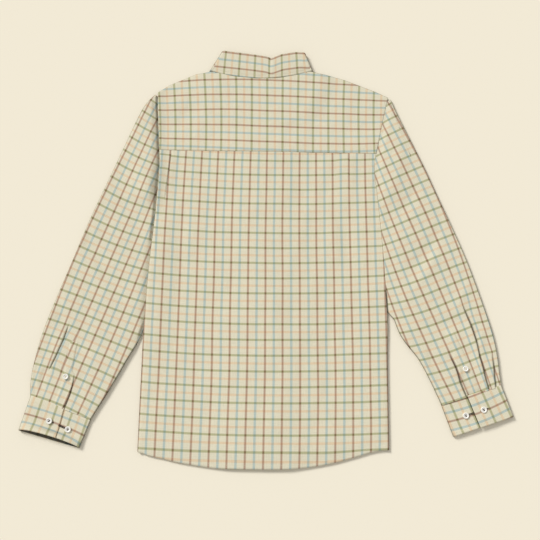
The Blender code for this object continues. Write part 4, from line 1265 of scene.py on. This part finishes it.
def buttonhole(parts, surface, middle, direction, length, above=True, width=2.5):
    """Satin stitching round a slit: short bars along both sides, and three long ones at each end."""
    direction = unit(np.array(direction))
    across = np.array((-direction[1], direction[0]))
    sign = 1 if above else -1

    def bar(place, reach, lifts, radius, level):
        ends = [place + across * reach * way for way in (-1, 0, 1)]
        heights = [surface.height(*(place if level else end), above) for end in ends]
        if None not in heights:
            path = [(*end, height + sign * lift) for end, height, lift in zip(ends, heights, lifts)]
            tube(parts, path, radius, 5)

    for side in (-1, 1):
        for step in np.arange(-length / 2, length / 2 + 0.01, SATIN_PITCH):
            place = middle + direction * step + across * side * 0.27 * width
            bar(place, 0.26 * width, (0.02, 0.16, 0.02), 0.19, level=False)
    for side in (-1, 1):
        for step in (0, 0.35, 0.7):
            place = middle + direction * side * (length / 2 + step)
            bar(place, width / 2, (0.05, 0.2, 0.05), 0.2, level=True)


def sew_button(parts, middle, top, radius, turned):
    """Thread through the four holes in two parallel bars, and a third bar across them."""
    direction = np.array((math.cos(turned), math.sin(turned)))
    across = np.array((-direction[1], direction[0]))
    reach = HOLE_REACH * radius * math.cos(math.pi / 4)
    floor = top - BUTTON_HEIGHT * THREAD_DEPTH
    for side in (-1, 1):
        for slip in (-0.32, 0, 0.32):
            start = middle + across * (side * reach + slip)
            path = [(*(start + direction * along * reach), floor + lift) for along, lift in THREAD_PATH]
            tube(parts, path, SHANK_RADIUS, 6)
    for slip in (-0.45, 0, 0.45):
        start = middle + direction * slip
        tube(parts, [(*(start + across * along * reach), floor + 0.42 - 0.2 * along * along)
                     for along in (-1, -0.5, 0, 0.5, 1)], SHANK_RADIUS, 6)


def dress_buttons(surfaces, pale_parts, dark_parts):
    """Buttons in the places of their solids, the thread that holds them, and the buttonholes."""
    shell = plain_material("button_white_pearl", PEARL, 0.30, spread=0.03, scale=300)
    meshes = {radius: button_mesh(radius, shell) for radius in (BUTTON_RADIUS, SMALL_BUTTON_RADIUS)}
    for name in sorted(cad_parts):
        if "button" not in name:
            continue
        low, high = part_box(name)
        radius = SMALL_BUTTON_RADIUS if "placket" in name else BUTTON_RADIUS
        side = "left" if "left" in name else "right"
        on_cuff = "cuff_button" in name
        turned = CUFFS[side].button_turn if on_cuff else 0
        piece = link_object("shown_" + name, meshes[radius])
        piece.location = ((low[0] + high[0]) / 2, (low[1] + high[1]) / 2, low[2])
        piece.rotation_euler = (0, 0, turned)
        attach(piece, "root")
        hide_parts(name)
        middle = (np.array(low[:2]) + np.array(high[:2])) / 2 / MM - SHIFT
        parts = dark_parts if on_cuff else pale_parts
        sew_button(parts, middle, low[2] / MM + BUTTON_HEIGHT, radius, turned)
        if on_cuff:
            along = np.array(CUFFS[side].along)
            far_hole = (*CUFFS[side].far_hole, FAR_HOLE_WIDTH)
            way, length, width = NEAR_HOLE if name.endswith("outer") else far_hole
            buttonhole(parts, surfaces["cuff_" + side], middle + way * along, along, length, width=width)
        if "front_button" in name or name == "collar_button":
            buttonhole(pale_parts, surfaces["front_left"], middle, (0, 1), FRONT_HOLE, above=False)


def sewing(parts, surfaces):
    """Rows of stitches: yoke, hems, front band, armholes, collar, cuffs and plackets."""
    def row(name, x, y, above=True):
        stitch_row(parts, surfaces[name], stack(x, y), above)

    across = np.linspace(-206, 206, 90)
    row("yoke", across, yoke_seam_y(across) + 2.2)
    across = np.linspace(-228, 220, 120)
    row("back", across, hem_y(across) + HEM_STITCH)
    for name, inset in (("front_left", 5.5), ("front_right", 4)):
        row(name, BAND_X + BAND_HALF - inset, np.linspace(-395, 276, 120), above=False)
    for name, low_x, high_x in (("front_left", -226, 0), ("front_right", 14, 218)):
        across = np.linspace(low_x, high_x, 60)
        row(name, across, hem_y(across) + HEM_STITCH, above=False)
    for side in (-1, 1):
        for name, low_y, high_y in (("back", 74, 186), ("yoke", 202, 306)):
            up = np.linspace(low_y, high_y, 40)
            row(name, side_x(up, side) - side * 5, up)
    edge = np.linspace(-LEAF_EDGE_HALF + 3, LEAF_EDGE_HALF - 3, 60)
    row("collar_leaf", COLLAR_X + edge, leaf_edge_y(edge) + 6)
    for name, cuff in CUFFS.items():
        for place in (0.09, 0.91):
            line = mix(*np.array(cuff.rows), place)
            share = np.linspace(0.03, 0.97, 50)
            row("cuff_" + name, mix(line[0], line[2], share), mix(line[1], line[3], share))
    for name, placket in PLACKETS.items():
        level = np.linspace(placket.rows[0][0] + 6, placket.rows[-1][0] - 12, 50)
        near, far, run = placket_lines(placket, level)
        for share in (0.1, 0.9):
            x = mix(near, far, share)
            row("placket_" + name, x, level + placket.tilt * (x - near) * (1 - run))


# ---- object and stage

def build_cloth():
    fabric = check_material()
    made = {
        "back": back_piece(fabric),
        "yoke": yoke_piece(fabric),
        "front_left": front_piece(-1, fabric),
        "front_right": front_piece(1, fabric),
        "collar_stand": collar_stand_piece(fabric),
        "collar_leaf": collar_leaf_piece(fabric),
    }
    for kind, make in (("sleeve", sleeve_piece), ("placket", placket_piece), ("cuff", cuff_piece)):
        for side in ("left", "right"):
            made[f"{kind}_{side}"] = make(side, fabric)
    for node, piece in made.items():
        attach(piece, "root")
        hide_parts(node)
    return made


def build_sewing(pieces):
    surfaces = {node: Surface(piece) for node, piece in pieces.items()}
    pale_parts = []
    dark_parts = []
    dress_buttons(surfaces, pale_parts, dark_parts)
    sewing(pale_parts, surfaces)
    pale = plain_material("thread_cream", CREAM_THREAD, 0.85, spread=0.05, scale=2500)
    dark = plain_material("thread_dark_brown", BROWN_THREAD, 0.85, spread=0.12, scale=2500)
    thread_object("thread_cream", pale_parts, pale)
    thread_object("thread_dark", dark_parts, dark)


def declare_sheets(pieces):
    for node, piece in pieces.items():
        width, length, area, below = CUTS[node]
        [pieces[name].name for name in below]


def build_stage():
    mesh = bpy.data.meshes.new("studio_floor")
    corners = [(-1, -1), (1, -1), (1, 1), (-1, 1)]
    mesh.from_pydata([(x * FLOOR_HALF, y * FLOOR_HALF, -FLOOR_DROP) for x, y in corners], [], [(0, 1, 2, 3)])
    nodes = Nodes("pale_floor")
    colour = linear(*FLOOR_COLOUR)
    nodes.fill(nodes.shader, {"Base Color": colour, "Roughness": 0.95, "Specular IOR Level": 0})
    mesh.materials.append(nodes.material)
    link_object("studio_floor", mesh)

    world = bpy.data.worlds.new("studio")
    world.use_nodes = True
    background = world.node_tree.nodes["Background"]
    background.inputs[0].default_value = (1, 0.985, 0.96, 1)
    background.inputs[1].default_value = WORLD_STRENGTH
    bpy.context.scene.world = world

    sun = bpy.data.lights.new("soft_key", "SUN")
    sun.energy = SUN_STRENGTH
    sun.angle = SUN_SPREAD
    sun.color = (1, 0.99, 0.97)
    lamp = link_object("soft_key", sun)
    lamp.rotation_euler = Vector(SUN_DIRECTION).to_track_quat("-Z", "Y").to_euler()


def build_camera():
    target = np.array([*(np.array(CAMERA_TARGET) + SHIFT * MM), 0])
    camera = bpy.data.cameras.new("camera")
    camera.lens = CAMERA_LENS
    camera.sensor_width = SENSOR_WIDTH
    holder = link_object("camera", camera)
    away = np.array([0, -math.sin(CAMERA_TILT), math.cos(CAMERA_TILT)])
    holder.location = target + CAMERA_DISTANCE * away
    holder.rotation_euler = (CAMERA_TILT, 0, 0)
    bpy.context.scene.camera = holder


build_camera()
pieces = build_cloth()
build_sewing(pieces)
declare_sheets(pieces)
build_stage()
bpy.context.scene.view_settings.view_transform = "Standard"
